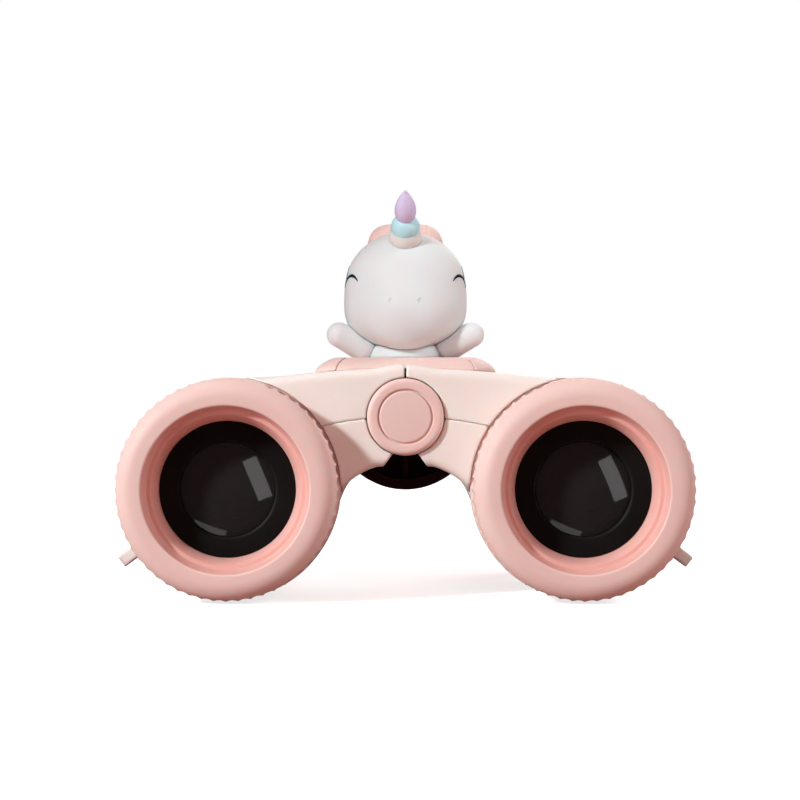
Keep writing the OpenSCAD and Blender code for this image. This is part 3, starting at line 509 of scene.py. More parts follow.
SHELLS = (("upper", -1, (-61, 7.4, -9.4), (9, 57, 13)), ("lower", 1, (-64.5, 7.4, -38), (9, 57, 1.2)))


def barrel_radius(y):
    t = np.clip((y - TAPER_Y) / TAPER_LEN, 0, 1.2)
    return BARREL_R - TAPER * t ** 1.7


def arm_section(x, z, inset):
    """Fields of the arm's top and of the arch under it."""
    top = np.sqrt(x ** 2 + (z - ARM_TOP + TOP_CURVE) ** 2) - TOP_CURVE + inset
    arch = ARCH_R + inset - np.sqrt(x ** 2 + (z + ARCH_Z) ** 2)
    return top, arch


def v_gap(x, z, grow):
    """Distance past the left face of the V below the hinge; above the V, well inside."""
    return np.where(z < V_FROM, x * V_NORMAL[0] + (z + V_TOP - grow) * V_NORMAL[1], DEEP)


def half_outside(x, y, z, r, rho, top, arch):
    """Barrel, arm and hub, with the seat of the objective ring cut back."""
    body = smax(smax(r - barrel_radius(y), y - HOUSE_END, 3.5), 16.2 - y, 1.4)
    arm = smax(smax(top, arch, 1.0), -x - BX - 4, 4.0)
    arm = smax(arm, -z - 19.0, 1.0)
    arm = smin(arm, rho - HUB_R + 3 * np.clip(y - 13.8, 0, 3), 1.6)
    arm = smax(arm, ARM_FRONT - y, 2.2)
    arm = smax(arm, y - ARM_REAR, 4.0)
    d = smin(body, arm, 5.0)
    return smax(d, -np.maximum(r - RING_R - 0.06, y - RING_LEN - 0.2), 0.2)


def with_lug(d, bx, y, bz):
    """Adds the strap lug and its hole; u runs out along the lug and w across its plate."""
    u = -bx * math.cos(LUG) - bz * math.sin(LUG)
    w = bx * math.sin(LUG) - bz * math.cos(LUG) + LUG_OFF
    plate = np.sqrt(np.maximum(u - LUG_EYE, 0) ** 2 + (y - LUG_Y) ** 2) - LUG_R
    lug = smax(np.maximum(plate, LUG_ROOT - u), np.abs(w) - LUG_T / 2, 0.2)
    d = smin(d, lug, 1.4)
    return smax(d, STRAP_R - np.sqrt((u - STRAP_U) ** 2 + (y - LUG_Y) ** 2), 0.5)


def half_hollow(x, y, z, r, rho, top, arch):
    """The barrel's bore and the room in the arm."""
    bore = r - np.interp(y, BORE_Y, BORE_R)
    room = np.maximum(np.maximum(top, arch),
                      np.maximum(ARM_FRONT + WALL + 0.3 - y, y - ARM_REAR + WALL + 0.6))
    room = np.maximum(room, np.maximum(x + SLIT + WALL, -x - BX))
    room = np.maximum(room, HOLE_R + WALL - rho)
    room = np.maximum(room, v_gap(x, z, -3.2))
    room = np.maximum(room, np.where(y < 18.4, RING_R + 0.3 + WALL - r, DEEP))
    return np.minimum(bore, np.maximum(room, -z - 22))


def half_field(knuckles):
    """The left half, with knuckles that start at these places along the hinge."""
    def f(x, y, z):
        bx, bz = x + BX, z + RISE
        r = np.sqrt(bx ** 2 + bz ** 2)
        rho = np.sqrt(x ** 2 + z ** 2)
        top, arch = arm_section(x, z, 0)
        top_in, arch_in = arm_section(x, z, WALL)
        vee = v_gap(x, z, 0)
        d = with_lug(half_outside(x, y, z, r, rho, top, arch), bx, y, bz)
        # slit, V and hinge hole, then the neck under the ring
        d = smax(d, x + SLIT, 0.3)
        d = smax(d, vee, 0.3)
        d = smax(d, HOLE_R - np.where(y < HOLE_FRONT, HOLE_SNUG, HOLE_BACK) - rho, 0.15)
        d = np.minimum(d, np.maximum(np.maximum(r - NECK_R, NECK_Y - y), y - NECK_END))
        d = np.maximum(d, -half_hollow(x, y, z, r, rho, top_in, arch_in))
        for start in knuckles:
            span = np.maximum(start - y, y - start - KNUCKLE_W)
            eye = np.maximum(rho - KNUCKLE_R, span)
            foot = np.maximum(np.maximum(rho - HOLE_R - 1.2, span), np.maximum(x + SLIT, vee))
            d = np.minimum(d, np.minimum(eye, foot))
        for at in SCREW_Y:
            q = np.sqrt((x + SCREW_X) ** 2 + (y - at) ** 2)
            post = np.maximum(np.maximum(q - POST_R, 19.6 - r),
                              np.maximum(np.maximum(top_in, arch + 0.6), -19.0 - z))
            d = np.minimum(d, post)
            shank = np.maximum(q - SHANK_R, z - SHANK_TOP)
            d = np.maximum(d, -np.minimum(shank, np.maximum(q - HEAD_R, z - HEAD_TOP)))
        d = np.maximum(d, PIN_HOLE_R - rho)
        window = np.maximum(np.maximum(np.abs(x) - CORE_HALF, -z),
                            np.maximum(CORE_Y - CORE_GAP - y, y - CORE_Y - CORE_W - CORE_GAP))
        return np.maximum(d, -window)
    return f


def seam(x, z):
    """Height above the parting seam: an arc along the arm, level past the barrel axis."""
    level = math.sqrt(SEAM_R ** 2 - BX ** 2) - SEAM_R
    return np.where(x > -BX, np.sqrt(x ** 2 + (z + SEAM_R) ** 2) - SEAM_R, z - level)


def shell_field(half, sign):
    return lambda x, y, z: smax(half(x, y, z), sign * seam(x, z) + SEAM_GAP, SEAM_ROUND)


for s in (-1, 1):
    both = half_field(KNUCKLES[s])
    for part, sign, lo, hi in SHELLS:
        v, f = field_mesh(shell_field(both, sign), lo, hi, STEP)
        if s == 1:
            v, f = mirror(v, f)
        piece(SIDE[s] + "_" + part + "_case", v, f, "cream", SIDE[s] + "_half", SIDE[s] + "_" + part + "_shell")


# Hinge cap

CAP_R, CAP_Y, CAP_END, CAP_ROUND = 8.1, 9.3, 14.0, 1.1
PIN_SEAT_R, PIN_END = 3.02, 11.2
GROOVE_Y = CAP_Y + 0.5
DISC_R, GROOVE_R = 5.5, 5.9
cap = (arc((6.05, CAP_Y + 0.2), 0.2, 0.2, 180, 270, 3)
       + arc((CAP_R - CAP_ROUND, CAP_Y + CAP_ROUND), CAP_ROUND, CAP_ROUND, 270, 360, 10)
       + [(CAP_R, CAP_END), (PIN_SEAT_R, CAP_END), (PIN_SEAT_R, PIN_END), (0, PIN_END), (0, GROOVE_Y),
          (GROOVE_R, GROOVE_Y)])
v, f = revolve(cap, 128)
piece("hinge_cap_ring", v, f, "pink", "core", "hinge_cap", angle=40)
disc = ([(0, CAP_Y)] + arc((DISC_R - 0.4, CAP_Y + 0.42), 0.4, 0.4, 270, 360, 6)
        + [(DISC_R, GROOVE_Y), (0, GROOVE_Y)])
v, f = revolve(disc, 128)
piece("hinge_cap_disc", v, f, "pink", "core", "cap_disc", angle=40)


# Saddle and its front panel

SAD_Y, SAD_L, SAD_W, SAD_TOP, SAD_CORNER = 15.0, 28.4, 39.2, 12.8, 8
BEVEL_H, BEVEL_IN = 3.4, 4.0                # sloped edge of the saddle
SAD_UNDER = TOP_CURVE + 0.14
PANEL_HALF, PANEL_TOP, PANEL_CORNER = 14.8, SAD_TOP + 0.05, 3.4
PANEL_DEPTH, PANEL_GAP, PANEL_EDGE = 4.45, 0.04, 0.12
POST_HALF, POST_Y, POST_LOW, POST_TOP = (5.3, 4.0), 28.25, 9.4, 11.2


def saddle_field(x, y, z):
    plan = round_box(np.abs(x) - (SAD_W / 2 - SAD_CORNER),
                     np.abs(y - SAD_Y - SAD_L / 2) - (SAD_L / 2 - SAD_CORNER), SAD_CORNER)
    t = np.clip((SAD_TOP - z) / BEVEL_H, 0, 1)
    d = smax(plan + BEVEL_IN * (1 - t) ** 2, z - SAD_TOP, 0.5)
    return np.maximum(d, SAD_UNDER - np.sqrt(x ** 2 + (z - ARM_TOP + TOP_CURVE) ** 2))


def panel_section(x, z, grow):
    return round_box(np.abs(x) - (PANEL_HALF + grow - PANEL_CORNER), z - (PANEL_TOP + grow - PANEL_CORNER),
                     PANEL_CORNER)


def saddle_shape(x, y, z):
    """The saddle with the panel's pocket, and the post by which it sits on the core."""
    pocket = np.maximum(panel_section(x, z, PANEL_GAP), y - SAD_Y - PANEL_DEPTH - 0.05)
    plate = smax(saddle_field(x, y, z), -pocket, PANEL_EDGE)
    post = np.maximum(np.maximum(np.abs(x) - POST_HALF[0], np.abs(y - POST_Y) - POST_HALF[1]),
                      np.maximum(POST_LOW - z, z - POST_TOP))
    return np.minimum(plate, post)


def panel_shape(x, y, z):
    """The panel follows the saddle's front, set back a little."""
    front = saddle_field(x, y - 0.2, z + 0.1)
    return smax(front, np.maximum(panel_section(x, z, 0), y - SAD_Y - PANEL_DEPTH), PANEL_EDGE)


v, f = field_mesh(saddle_shape, (-20.5, 14, 8.4), (20.5, 44.4, 13.4), 0.3)
piece("saddle_cover", v, f, "pink", "core", "saddle")
v, f = field_mesh(panel_shape, (-15.4, 14.4, 9.6), (15.4, 20.2, 13.4), 0.22)
piece("saddle_front_panel", v, f, "pink", "core", "saddle_panel")


# Unicorn: head, trunk, arms, mane and tail

FY, HZ = 28.0, 28.2                         # middle of the head
NOSE_Z, NOSTRIL_X = 24.8, 3.15
NECK_TOP, SPIGOT_R = 19.0, 5                # spigot of the trunk in the head
LEAN = math.radians(42)                     # the horn leans forward
HORN_Y, HORN_Z = FY - 5.2, HZ + 9.6
BULB_LOW, BULB_MID = (1.9, 3.55), (4.1, 3.13)   # centre along the horn and radius


def head_field(x, y, z):
    d = egg(x, y, z, (0, FY, HZ), (13.3, 11, 12.4))
    cheeks = egg(np.abs(x), y, z, (4.4, FY - 0.6, HZ - 6), (8.2, 8.6, 6.2))
    muzzle = egg(x, y, z, (0, FY - 8.0, HZ - 6.6), (7.3, 5.6, 6.9))
    return smin(smin(d, cheeks, 4.0), muzzle, 4.6)


def horn_bulb(x, y, z):
    py, pz = y - HORN_Y, z - HORN_Z
    along = -py * math.sin(LEAN) + pz * math.cos(LEAN)
    across = py * math.cos(LEAN) + pz * math.sin(LEAN)
    return np.sqrt(np.sqrt(x ** 2 + across ** 2) ** 2 + (along - BULB_LOW[0]) ** 2) - BULB_LOW[1]


def head_shape(x, y, z):
    d = head_field(x, y, z)
    for sx in (-NOSTRIL_X, NOSTRIL_X):
        dent = np.sqrt((x - sx) ** 2 + (z - NOSE_Z) ** 2 + np.minimum(y - FY + 12.5, 0) ** 2)
        d = d + np.where(y < FY - 8, 0.15 * np.exp(-(dent / 0.5) ** 2), 0.0)
    neck = np.maximum(np.sqrt(x ** 2 + (y - FY - 1) ** 2) - SPIGOT_R - 0.05, z - NECK_TOP - 0.05)
    return np.maximum(d, -np.minimum(neck, horn_bulb(x, y, z) + 0.01))


def trunk_egg(x, y, z):
    return egg(x, y, z, (0, FY + 1, SAD_TOP), (8.2, 9.2, 5.6))


def trunk_shape(x, y, z):
    d = smax(trunk_egg(x, y, z), 0.05 - head_field(x, y, z), 0.1)
    d = np.minimum(d, np.maximum(np.sqrt(x ** 2 + (y - FY - 1) ** 2) - SPIGOT_R, z - NECK_TOP))
    return smax(d, SAD_TOP - z, 0.15)


def hand_shape(x, y, z):
    d = capsule(x, y, z, (-14.5, FY - 2.5, SAD_TOP + 5.1), (-9.4, FY - 0.5, SAD_TOP + 2.8), 2.7, 3.4)
    d = smax(d, 0.05 - trunk_egg(x, y, z), 0.15)
    d = smax(d, 0.12 - head_field(x, y, z), 0.15)
    return smax(d, SAD_TOP + 0.02 - z, 0.3)


def groove(d, off, r, k):
    """Cuts a round groove of radius r into the surface where off is zero."""
    return smax(d, r - np.sqrt(off ** 2 + np.minimum(d, 0) ** 2), k)


def mane_shape(x, y, z):
    px, py, pz = np.abs(x) / 8.7, (y - FY - 6.8) / 6.8, np.abs(z - HZ - 4) / 10.8
    lobe = 6.0 * (np.sqrt(np.sqrt(px ** 4 + pz ** 4) + py ** 2) - 1)
    d = smin(lobe, egg(x, y, z, (0, FY + 9, HZ - 1), (6.2, 4.6, 8.4)), 2.5)
    wave = x + 0.9 * np.sin((z - HZ - 14.4) * 0.33)
    for g, wide in ((-4.6, 0.0), (-0.6, 0.0), (4.3, 0.16)):
        r = wide + 0.3 * np.clip((y - FY - 7) / 3, 0, 1)
        d = np.where(r > 0.02, groove(d, wave - g, r, 0.25), d)
    d = smax(d, 0.12 - head_field(x, y, z), 0.2)
    return np.maximum(d, 0.05 - horn_bulb(x, y, z))


def tail_shape(x, y, z):
    d = capsule(x, y, z, (0, FY + 11.4, SAD_TOP + 2.4), (0, FY + 9, SAD_TOP + 2.2), 2.35, 2.0)
    wave = x + 0.4 * np.sin((z - SAD_TOP) * 1.2)
    for g in (-0.9, 0.9):
        d = groove(d, wave - g, 0.22, 0.2)
    d = smax(d, 0.05 - trunk_egg(x, y, z), 0.15)
    return smax(d, SAD_TOP + 0.02 - z, 0.2)


v, f = field_mesh(head_shape, (-14.5, 12.5, 13.5), (14.5, 40, 41.5), 0.27)
piece("unicorn_head", v, f, "white", "core", "head")
v, f = field_mesh(trunk_shape, (-9.5, 17.5, 12.2), (9.5, 39.5, 20), 0.3)
piece("unicorn_trunk", v, f, "white", "core", "trunk")
v, f = field_mesh(hand_shape, (-18, 21, 12.4), (-5, 33, 21.5), 0.26)
piece("unicorn_left_arm", v, f, "white", "core", "left_hand")
v, f = mirror(v, f)
piece("unicorn_right_arm", v, f, "white", "core", "right_hand")
v, f = field_mesh(mane_shape, (-9.6, 24, 17.5), (9.6, 43, 44), 0.3)
piece("unicorn_mane", v, f, "mane", "core", "mane")
v, f = field_mesh(tail_shape, (-3, 35, 12.4), (3, 43, 18.2), 0.2)
piece("unicorn_tail", v, f, "mane", "core", "tail")


# Unicorn: horn

DROP_C, DROP_R, DROP_LOW, DROP_TIP, NUB = 8.63, 2.34, 3.45, 13.85, 0.38
PIT, PIT_FROM = 1.012, 36                   # the pit under the drop: a little larger, from this angle down
MID_TOP = 52.9                              # angle on the middle bulb where the pit starts


def horn_part(name, profile, mat, node):
    v, f = revolve(profile, 64)
    x, s, w = v.T
    y = -s * math.sin(LEAN) + w * math.cos(LEAN)
    z = s * math.cos(LEAN) + w * math.sin(LEAN)
    out = np.stack([x, y + HORN_Y, z + HORN_Z], 1)
    piece(name, out, [list(q)[::-1] for q in f], mat, "core", node, angle=60)


def ball_arc(c, r, a0, a1, n):
    return [(r * math.cos(a), c + r * math.sin(a)) for a in np.radians(np.linspace(a0, a1, n))]


def drop_arc(grow, a0, a1, n):
    return [(grow * DROP_R * math.cos(a), DROP_C + grow * DROP_LOW * math.sin(a))
            for a in np.radians(np.linspace(a0, a1, n))]


def meeting(c0, r0, c1, r1):
    """Angles on the lower and on the upper ball where the two meet."""
    d = c1 - c0
    return (math.degrees(math.asin((r0 ** 2 - r1 ** 2 + d ** 2) / (2 * d * r0))),
            -math.degrees(math.asin((r1 ** 2 - r0 ** 2 + d ** 2) / (2 * d * r1))))


low_end, mid_start = meeting(*BULB_LOW, *BULB_MID)
horn_part("horn_base_bulb", ball_arc(*BULB_LOW, -90, low_end, 28) + ball_arc(*BULB_MID, mid_start, -90, 16),
          "peach", "horn_base")
horn_part("horn_middle_bulb", ball_arc(*BULB_MID, -90, MID_TOP, 30) + drop_arc(PIT, -PIT_FROM, -90, 14),
          "blue", "horn_middle")
drop = drop_arc(1, -90, 0, 24)
for t in np.linspace(0.06, 1, 18):
    drop.append((NUB + (DROP_R - NUB) * (1 - t ** 1.8), DROP_C + (DROP_TIP - NUB - DROP_C) * t))
drop += ball_arc(DROP_TIP - NUB, NUB, 8, 90, 8)
horn_part("horn_tip_drop", drop, "purple", "horn_tip")


# Unicorn: eye lines, lashes and painted nostril shadows

EYE = ((10.35, 29.35), (11.3, 31.2), (12.75, 31.3), (13.2, 28.2))
LASH = ((12.8, 30.0), (12.55, 31.4), (12.35, 33.0))
EYE_N, LASH_N, NOSTRIL_N = 36, 18, 15
STROKE_SIDES = 10


def head_hit(start, way):
    """Where the line from start, inside the head, leaves it along way."""
    start, way = np.array(start, float), np.array(way, float)
    lo, hi = 0.0, 30.0
    for _ in range(40):
        mid = (lo + hi) / 2
        if float(head_field(*(start + way * mid))) > 0:
            hi = mid
        else:
            lo = mid
    return start + way * lo


def on_head(x, z):
    """Point on the front of the head."""
    return head_hit((x, FY, z), (0, -1, 0))


def on_side(s, x, z):
    """Point on the front of the head on side s, kept inside the head's outline."""
    return on_head(s * min(x, head_hit((0, FY, z), (1, 0, 0))[0] - 0.06), z)


def head_normal(p):
    g = np.array([head_field(*(p + d)) - head_field(*(p - d)) for d in np.eye(3) * 0.01])
    return g / np.linalg.norm(g)


def stroke(name, path, radii, mat, rise=0.08):
    """A raised painted line that lies on the head."""
    P = np.array(path)
    n, last = STROKE_SIDES, len(P) - 1
    verts, faces = [], []
    for i, p in enumerate(P):
        up = head_normal(p)
        t = P[min(i + 1, last)] - P[max(i - 1, 0)]
        b = np.cross(t / np.linalg.norm(t), up)
        b = b / np.linalg.norm(b)
        for a in 2 * math.pi * np.arange(n) / n:
            verts.append(p + radii[i] * (b * math.cos(a)) + up * (rise * math.sin(a)))
    for i in range(last):
        for k in range(n):
            a, b = i * n + k, i * n + (k + 1) % n
            faces.append((a, b, b + n, a + n))
    faces.append(tuple(range(n))[::-1])
    faces.append(tuple(last * n + k for k in range(n)))
    piece(name, verts, faces, mat, "core")


def bezier(pts, n):
    t = np.linspace(0, 1, n)[:, None]
    m = len(pts) - 1
    return sum(math.comb(m, i) * (1 - t) ** (m - i) * t ** i * np.array(p) for i, p in enumerate(pts))


def swell(thin, thick, start, end, n):
    """Radii of a line that swells in its middle."""
    return thin + thick * np.sin(np.linspace(start, math.pi - end, n))


for s in (-1, 1):
    path = [on_side(s, x, z) for x, z in bezier(EYE, EYE_N)]
    stroke(SIDE[s] + "_eye_line", path, swell(0.10, 0.26, 0.12, 0.25, EYE_N), "ink")
    path = [on_side(s, x, z) for x, z in bezier(LASH, LASH_N)]
    stroke(SIDE[s] + "_eye_lash", path, np.linspace(0.2, 0.05, LASH_N), "ink")
    # Nostril crescents: a painted shadow along the upper left of each dimple.
    path = [on_head(x, z) for x, z in arc((s * NOSTRIL_X, NOSE_Z), 0.45, 0.55, 70, 240, NOSTRIL_N - 1)]
    stroke(SIDE[s] + "_nostril", path, swell(0.03, 0.1, 0.1, 0.1, NOSTRIL_N), "dent", rise=0.032)


# Focus wheel

WHEEL_R, WHEEL_IN, WY, WE = 16.7, 15.6, 44.2, 54.0
WEB_Y, HUB_IN, HUB_OUT, RIM_IN = 50.6, 7.2, 7.5, 14.3
KNURLS, KNURL = 44, 0.6
RIB_HALF, RIB_Y = 0.7, 46.0
wheel = ([(RIM_IN, WY)] + arc((WHEEL_IN, WY + 0.7), 0.75, 0.7, 270, 340, 4)
         + [(WHEEL_R, y) for y in np.linspace(WY + 1.0, WE - 1.0, 12)]
         + arc((WHEEL_IN, WE - 0.7), 0.75, 0.7, 20, 90, 4)
         + [(13.9, WE), (13.6, WE - 0.9), (9.2, WE - 0.9), (8.8, WE)]
         + [(2.05, WE), (2.05, 48.9), (4.1, 48.9), (4.1, 46.8), (HUB_IN, 46.8), (HUB_OUT, 47.1),
            (HUB_OUT, WEB_Y), (RIM_IN, WEB_Y)])


def knurl(R, Y, T):
    """Round ribs on the wheel's rim."""
    u = (T * KNURLS / (2 * math.pi)) % 1.0 - 0.5
    w = np.clip(np.minimum(Y - WY - 1.9, WE - 0.6 - Y) / 0.6, 0, 1)
    return np.where(R > 15.9, R - KNURL * w * (1 - np.sqrt(np.clip(1 - (2 * u) ** 2, 0, 1))), R)


def ribs_shape(x, y, z):
    """Six ribs between the wheel's hub and rim."""
    rho = np.sqrt(x ** 2 + z ** 2)
    d = np.full(np.broadcast(x, y, z).shape, 9.0)
    for a in (0.0, math.radians(60), math.radians(120)):
        d = np.minimum(d, np.abs(x * math.cos(a) + z * math.sin(a)) - RIB_HALF)
    d = smax(d, RIB_Y - y, 0.4)
    return np.maximum(np.maximum(d, y - WEB_Y - 0.1), np.maximum(HUB_OUT - 0.1 - rho, rho - RIM_IN - 0.1))


# The wheel's dark material is painted shade.
v, f = revolve(wheel, KNURLS * 12, wobble=knurl)
wheel_ob = piece("focus_wheel_grip", v, f, "wheel", "focus_wheel", "focus_wheel", angle=40)
v, f = field_mesh(ribs_shape, (-15, 45.5, -15), (15, 51.2, 15), 0.33)
piece("focus_wheel_ribs", v, f, "wheel", "focus_wheel")


# Eyepieces

CUP_Y, CUP_END, CUP_R, CUP_BASE = 65.7, 90.1, 18.2, 16.6
CUP_LIP, FLARE_Y, FLARE_R = 1.6, CUP_Y + 9.0, CUP_BASE + 0.6
TUBE_R, TUBE_IN, STOP_R, TUBE_END = 13.2, 11.6, 10.4, 75.1
COLLAR_IN = 13.25
EYE_RIM, EYE_SAG, EYE_FLAT, EYE_EDGE = 11.55, 1.6, 68.95, 71.15
BRIDGE_Y, BRIDGE_T = {-1: 59.4, 1: 62.5}, 2.9
cup = [(COLLAR_IN, CUP_Y)] + arc((CUP_BASE - 0.5, CUP_Y + 0.5), 0.5, 0.5, 270, 360, 5)
for upper, floor_at, lower in (((-0.4, 2.8), (-0.3, 3.8), (-0.2, 4.9)), ((-0.1, 6.9), (0.0, 7.9), (0.2, 9.0))):
    cup += arc((CUP_BASE + upper[0], CUP_Y + upper[1]), 0.4, 0.4, 0, 90, 5)
    cup += arc((CUP_BASE + floor_at[0], CUP_Y + floor_at[1]), 0.5, 0.5, 250, 110, 8)
    cup += arc((CUP_BASE + lower[0], CUP_Y + lower[1]), 0.4, 0.4, 270, 360, 5)
for t in np.linspace(0.08, 1, 14):
    cup.append((FLARE_R + (CUP_R - FLARE_R) * math.sin(t * math.pi / 2) ** 1.2,
                FLARE_Y + (CUP_END - CUP_LIP - FLARE_Y) * t))
cup += arc((CUP_R - CUP_LIP, CUP_END - CUP_LIP), CUP_LIP, CUP_LIP, 10, 175, 18)
cup += [(CUP_R - 3.4, CUP_END - 4), (CUP_R - 3.7, CUP_END - 7), (CUP_R - 4.1, 78.4), (CUP_R - 4.5, 77.2),
        (CUP_R - 5.4, 76.5), (10.6, 76.4), (10.2, 76.1), (10.2, 75.2), (COLLAR_IN, 75.2)]
tube = [(TUBE_IN, 42), (TUBE_R - 0.3, 42), (TUBE_R, 42.3), (TUBE_R, TUBE_END), (TUBE_IN, TUBE_END),
        (TUBE_IN, 68.9), (STOP_R, 68.9), (STOP_R, 67.7), (TUBE_IN, 67.7),
        (TUBE_IN, 47.2), (STOP_R, 47.2), (STOP_R, 46.2), (TUBE_IN, 46.2)]
keep = [(9.0, 72.7), (9.3, 72.45), (EYE_RIM, 71.4), (EYE_RIM, TUBE_END), (9.4, TUBE_END), (9.0, 74.7)]
eye_lens = ([(0, EYE_FLAT), (EYE_RIM, EYE_FLAT + 0.01)]
            + lens_face(EYE_RIM, EYE_SAG, EYE_EDGE, 1, 30)[::-1])
TURNED = (("_eyecup_rubber", cup, True, "ring", "_eyecup", 45),
          ("_tube_black", tube, True, "black", "_eyepiece_tube", 40),
          ("_eye_ring", keep, True, "black", "_eye_retainer", 40),
          ("_eye_glass", eye_lens, False, "lens", "_eye_lens", 50))


def bridge_field(y0):
    """Arm from the spindle to the collar round the left eyepiece; u runs along it and w across it."""
    tilt = math.atan2(RISE, BX)

    def f(x, y, z):
        bx, bz = x + BX, z + RISE
        r, rho = np.sqrt(bx ** 2 + bz ** 2), np.sqrt(x ** 2 + z ** 2)
        u = -x * math.cos(tilt) - z * math.sin(tilt)
        w = x * math.sin(tilt) - z * math.cos(tilt)
        wide = 4.5 + 0.9 * np.clip((u - 14) / 12, 0, 1)
        plate = np.maximum(np.abs(w) - wide, np.maximum(-u, u - 30))
        arm = smin(plate, rho - 6.5, 2.0)
        arm = smax(arm, np.abs(y - y0 - BRIDGE_T / 2) - BRIDGE_T / 2, 0.7)
        collar = smax(r - 16.0, np.abs(y - 62.4) - 3.0, 0.8)
        d = smin(arm, collar, 1.2)
        return np.maximum(np.maximum(d, COLLAR_IN - r), 3.25 - rho)
    return f


for s in (-1, 1):
    eye = SIDE[s] + "_eyepiece"
    for name, profile, closed, mat, node, angle in TURNED:
        v, f = revolve(profile, 128, BARREL[s], closed=closed)
        piece(SIDE[s] + name, v, f, mat, eye, SIDE[s] + node, angle=angle)
    v, f = field_mesh(bridge_field(BRIDGE_Y[s]), (-54.5, 58.6, -32.5), (7.5, 66.2, 7.5), 0.4)
    if s > 0:
        v, f = mirror(v, f)
    piece(SIDE[s] + "_bridge_plate", v, f, "cream", eye, SIDE[s] + "_bridge_arm")


# CAD nodes that are shown as they are

KEPT = {"hinge_pin": "steel", "core_block": "core", "saddle_screws": "steel", "wheel_keeper": "core",
        "focus_spindle": "steel", "spindle_cap": "pink"}
for side in SIDE.values():
    KEPT.update({side + "_shell_screws": "steel", side + "_lens_retainer": "black", side + "_prism_cage": "black",
                 side + "_prism": "glass", side + "_field_lens": "glass"})
for node, mat in KEPT.items():
    me = nodes[node].data
    me.materials.clear()
    me.materials.append(M[mat])
    me.polygons.foreach_set("use_smooth", [True] * len(me.polygons))
    me.set_sharp_from_angle(angle=math.radians(35))


# Floor and world

FLOOR_X, FLOOR_Y, FLOOR_Z = 0.9, 0.7, -0.0002   # metres
FLOOR_WHITE, FLOOR_LIFT = (0.9, 0.9, 0.9, 1), 0.74
FLOOR_BOUNCE = (0.44, 0.23, 0.20, 1)
SKY, SKY_STRENGTH = (1.0, 0.46, 0.39, 1), 0.27
SKY_SEEN = (("Is Glossy Ray", 0.05), ("Is Transmission Ray", 0.08), ("Is Camera Ray", 1.0))


def by_ray(tree, path, flag, other, seen):
    """Shows one kind of ray the shader seen, and every other ray the shader other."""
    mix = tree.nodes.new("ShaderNodeMixShader")
    for k, socket in enumerate((path.outputs[flag], other.outputs[0], seen.outputs[0])):
        tree.links.new(socket, mix.inputs[k])
    return mix


def floor_material(name):
    """Pale floor: white to the camera with the shadow kept, dark to bounced light, clear to reflections."""
    a = Mat(name)
    a.set(Roughness=0.9, Specular_IOR_Level=0.0, Base_Color=FLOOR_WHITE)
    bounce = a.node("ShaderNodeBsdfDiffuse", Color=FLOOR_BOUNCE)
    path = a.node("ShaderNodeLightPath")
    white = a.node("ShaderNodeAddShader")
    a.link(a.b, 0, white, 0)
    a.link(a.node("ShaderNodeEmission", Strength=FLOOR_LIFT), 0, white, 1)
    seen = by_ray(a.t, path, "Is Camera Ray", bounce, white)
    clear = by_ray(a.t, path, "Is Glossy Ray", seen, a.node("ShaderNodeBsdfTransparent"))
    a.link(clear, 0, a.t.nodes["Material Output"], 0)
    return a.m


def stand_on(ground, feet):
    """Keeps the floor under the lowest of the feet, which a fold swings down."""
    tree = bpy.data.node_groups.new("floor_level", "GeometryNodeTree")
    for way in ("INPUT", "OUTPUT"):
        tree.interface.new_socket("Geometry", in_out=way, socket_type="NodeSocketGeometry")
    add, link = tree.nodes.new, tree.links.new
    join = add("GeometryNodeJoinGeometry")
    for foot in feet:
        info = add("GeometryNodeObjectInfo")
        info.transform_space = "RELATIVE"
        info.inputs["Object"].default_value = foot
        link(info.outputs["Geometry"], join.inputs[0])
    box, split = add("GeometryNodeBoundBox"), add("ShaderNodeSeparateXYZ")
    lowest, down = add("ShaderNodeMath"), add("ShaderNodeCombineXYZ")
    lowest.operation = "MINIMUM"
    lowest.inputs[1].default_value = 0.0
    place = add("GeometryNodeSetPosition")
    link(join.outputs[0], box.inputs[0])
    link(box.outputs["Min"], split.inputs[0])
    link(split.outputs["Z"], lowest.inputs[0])
    link(lowest.outputs[0], down.inputs["Z"])
    link(add("NodeGroupInput").outputs[0], place.inputs["Geometry"])
    link(down.outputs[0], place.inputs["Offset"])
    link(place.outputs[0], add("NodeGroupOutput").inputs[0])
    ground.modifiers.new("floor_level", "NODES").node_group = tree


floor_mesh = bpy.data.meshes.new("floor")
floor_mesh.from_pydata([(-FLOOR_X, -FLOOR_Y, FLOOR_Z), (FLOOR_X, -FLOOR_Y, FLOOR_Z),
                        (FLOOR_X, FLOOR_Y, FLOOR_Z), (-FLOOR_X, FLOOR_Y, FLOOR_Z)], [], [(0, 1, 2, 3)])
floor = bpy.data.objects.new("floor", floor_mesh)
scene.collection.objects.link(floor)
floor_mesh.materials.append(floor_material("floor_white"))
stand_on(floor, [ob for ob in scene.collection.objects if ob.name.endswith("_ring_rubber")])

world = bpy.data.worlds.new("studio")
scene.world = world
world.use_nodes = True
sky_tree = world.node_tree
sky_path = sky_tree.nodes.new("ShaderNodeLightPath")
sky = sky_tree.nodes["Background"]
sky.inputs["Color"].default_value = SKY
sky.inputs["Strength"].default_value = SKY_STRENGTH
for flag, strength in SKY_SEEN:
    seen = sky_tree.nodes.new("ShaderNodeBackground")
    seen.inputs["Color"].default_value = (1, 1, 1, 1)
    seen.inputs["Strength"].default_value = strength
    sky = by_ray(sky_tree, sky_path, flag, sky, seen)
sky_tree.links.new(sky.outputs[0], sky_tree.nodes["World Output"].inputs[0])


# Camera

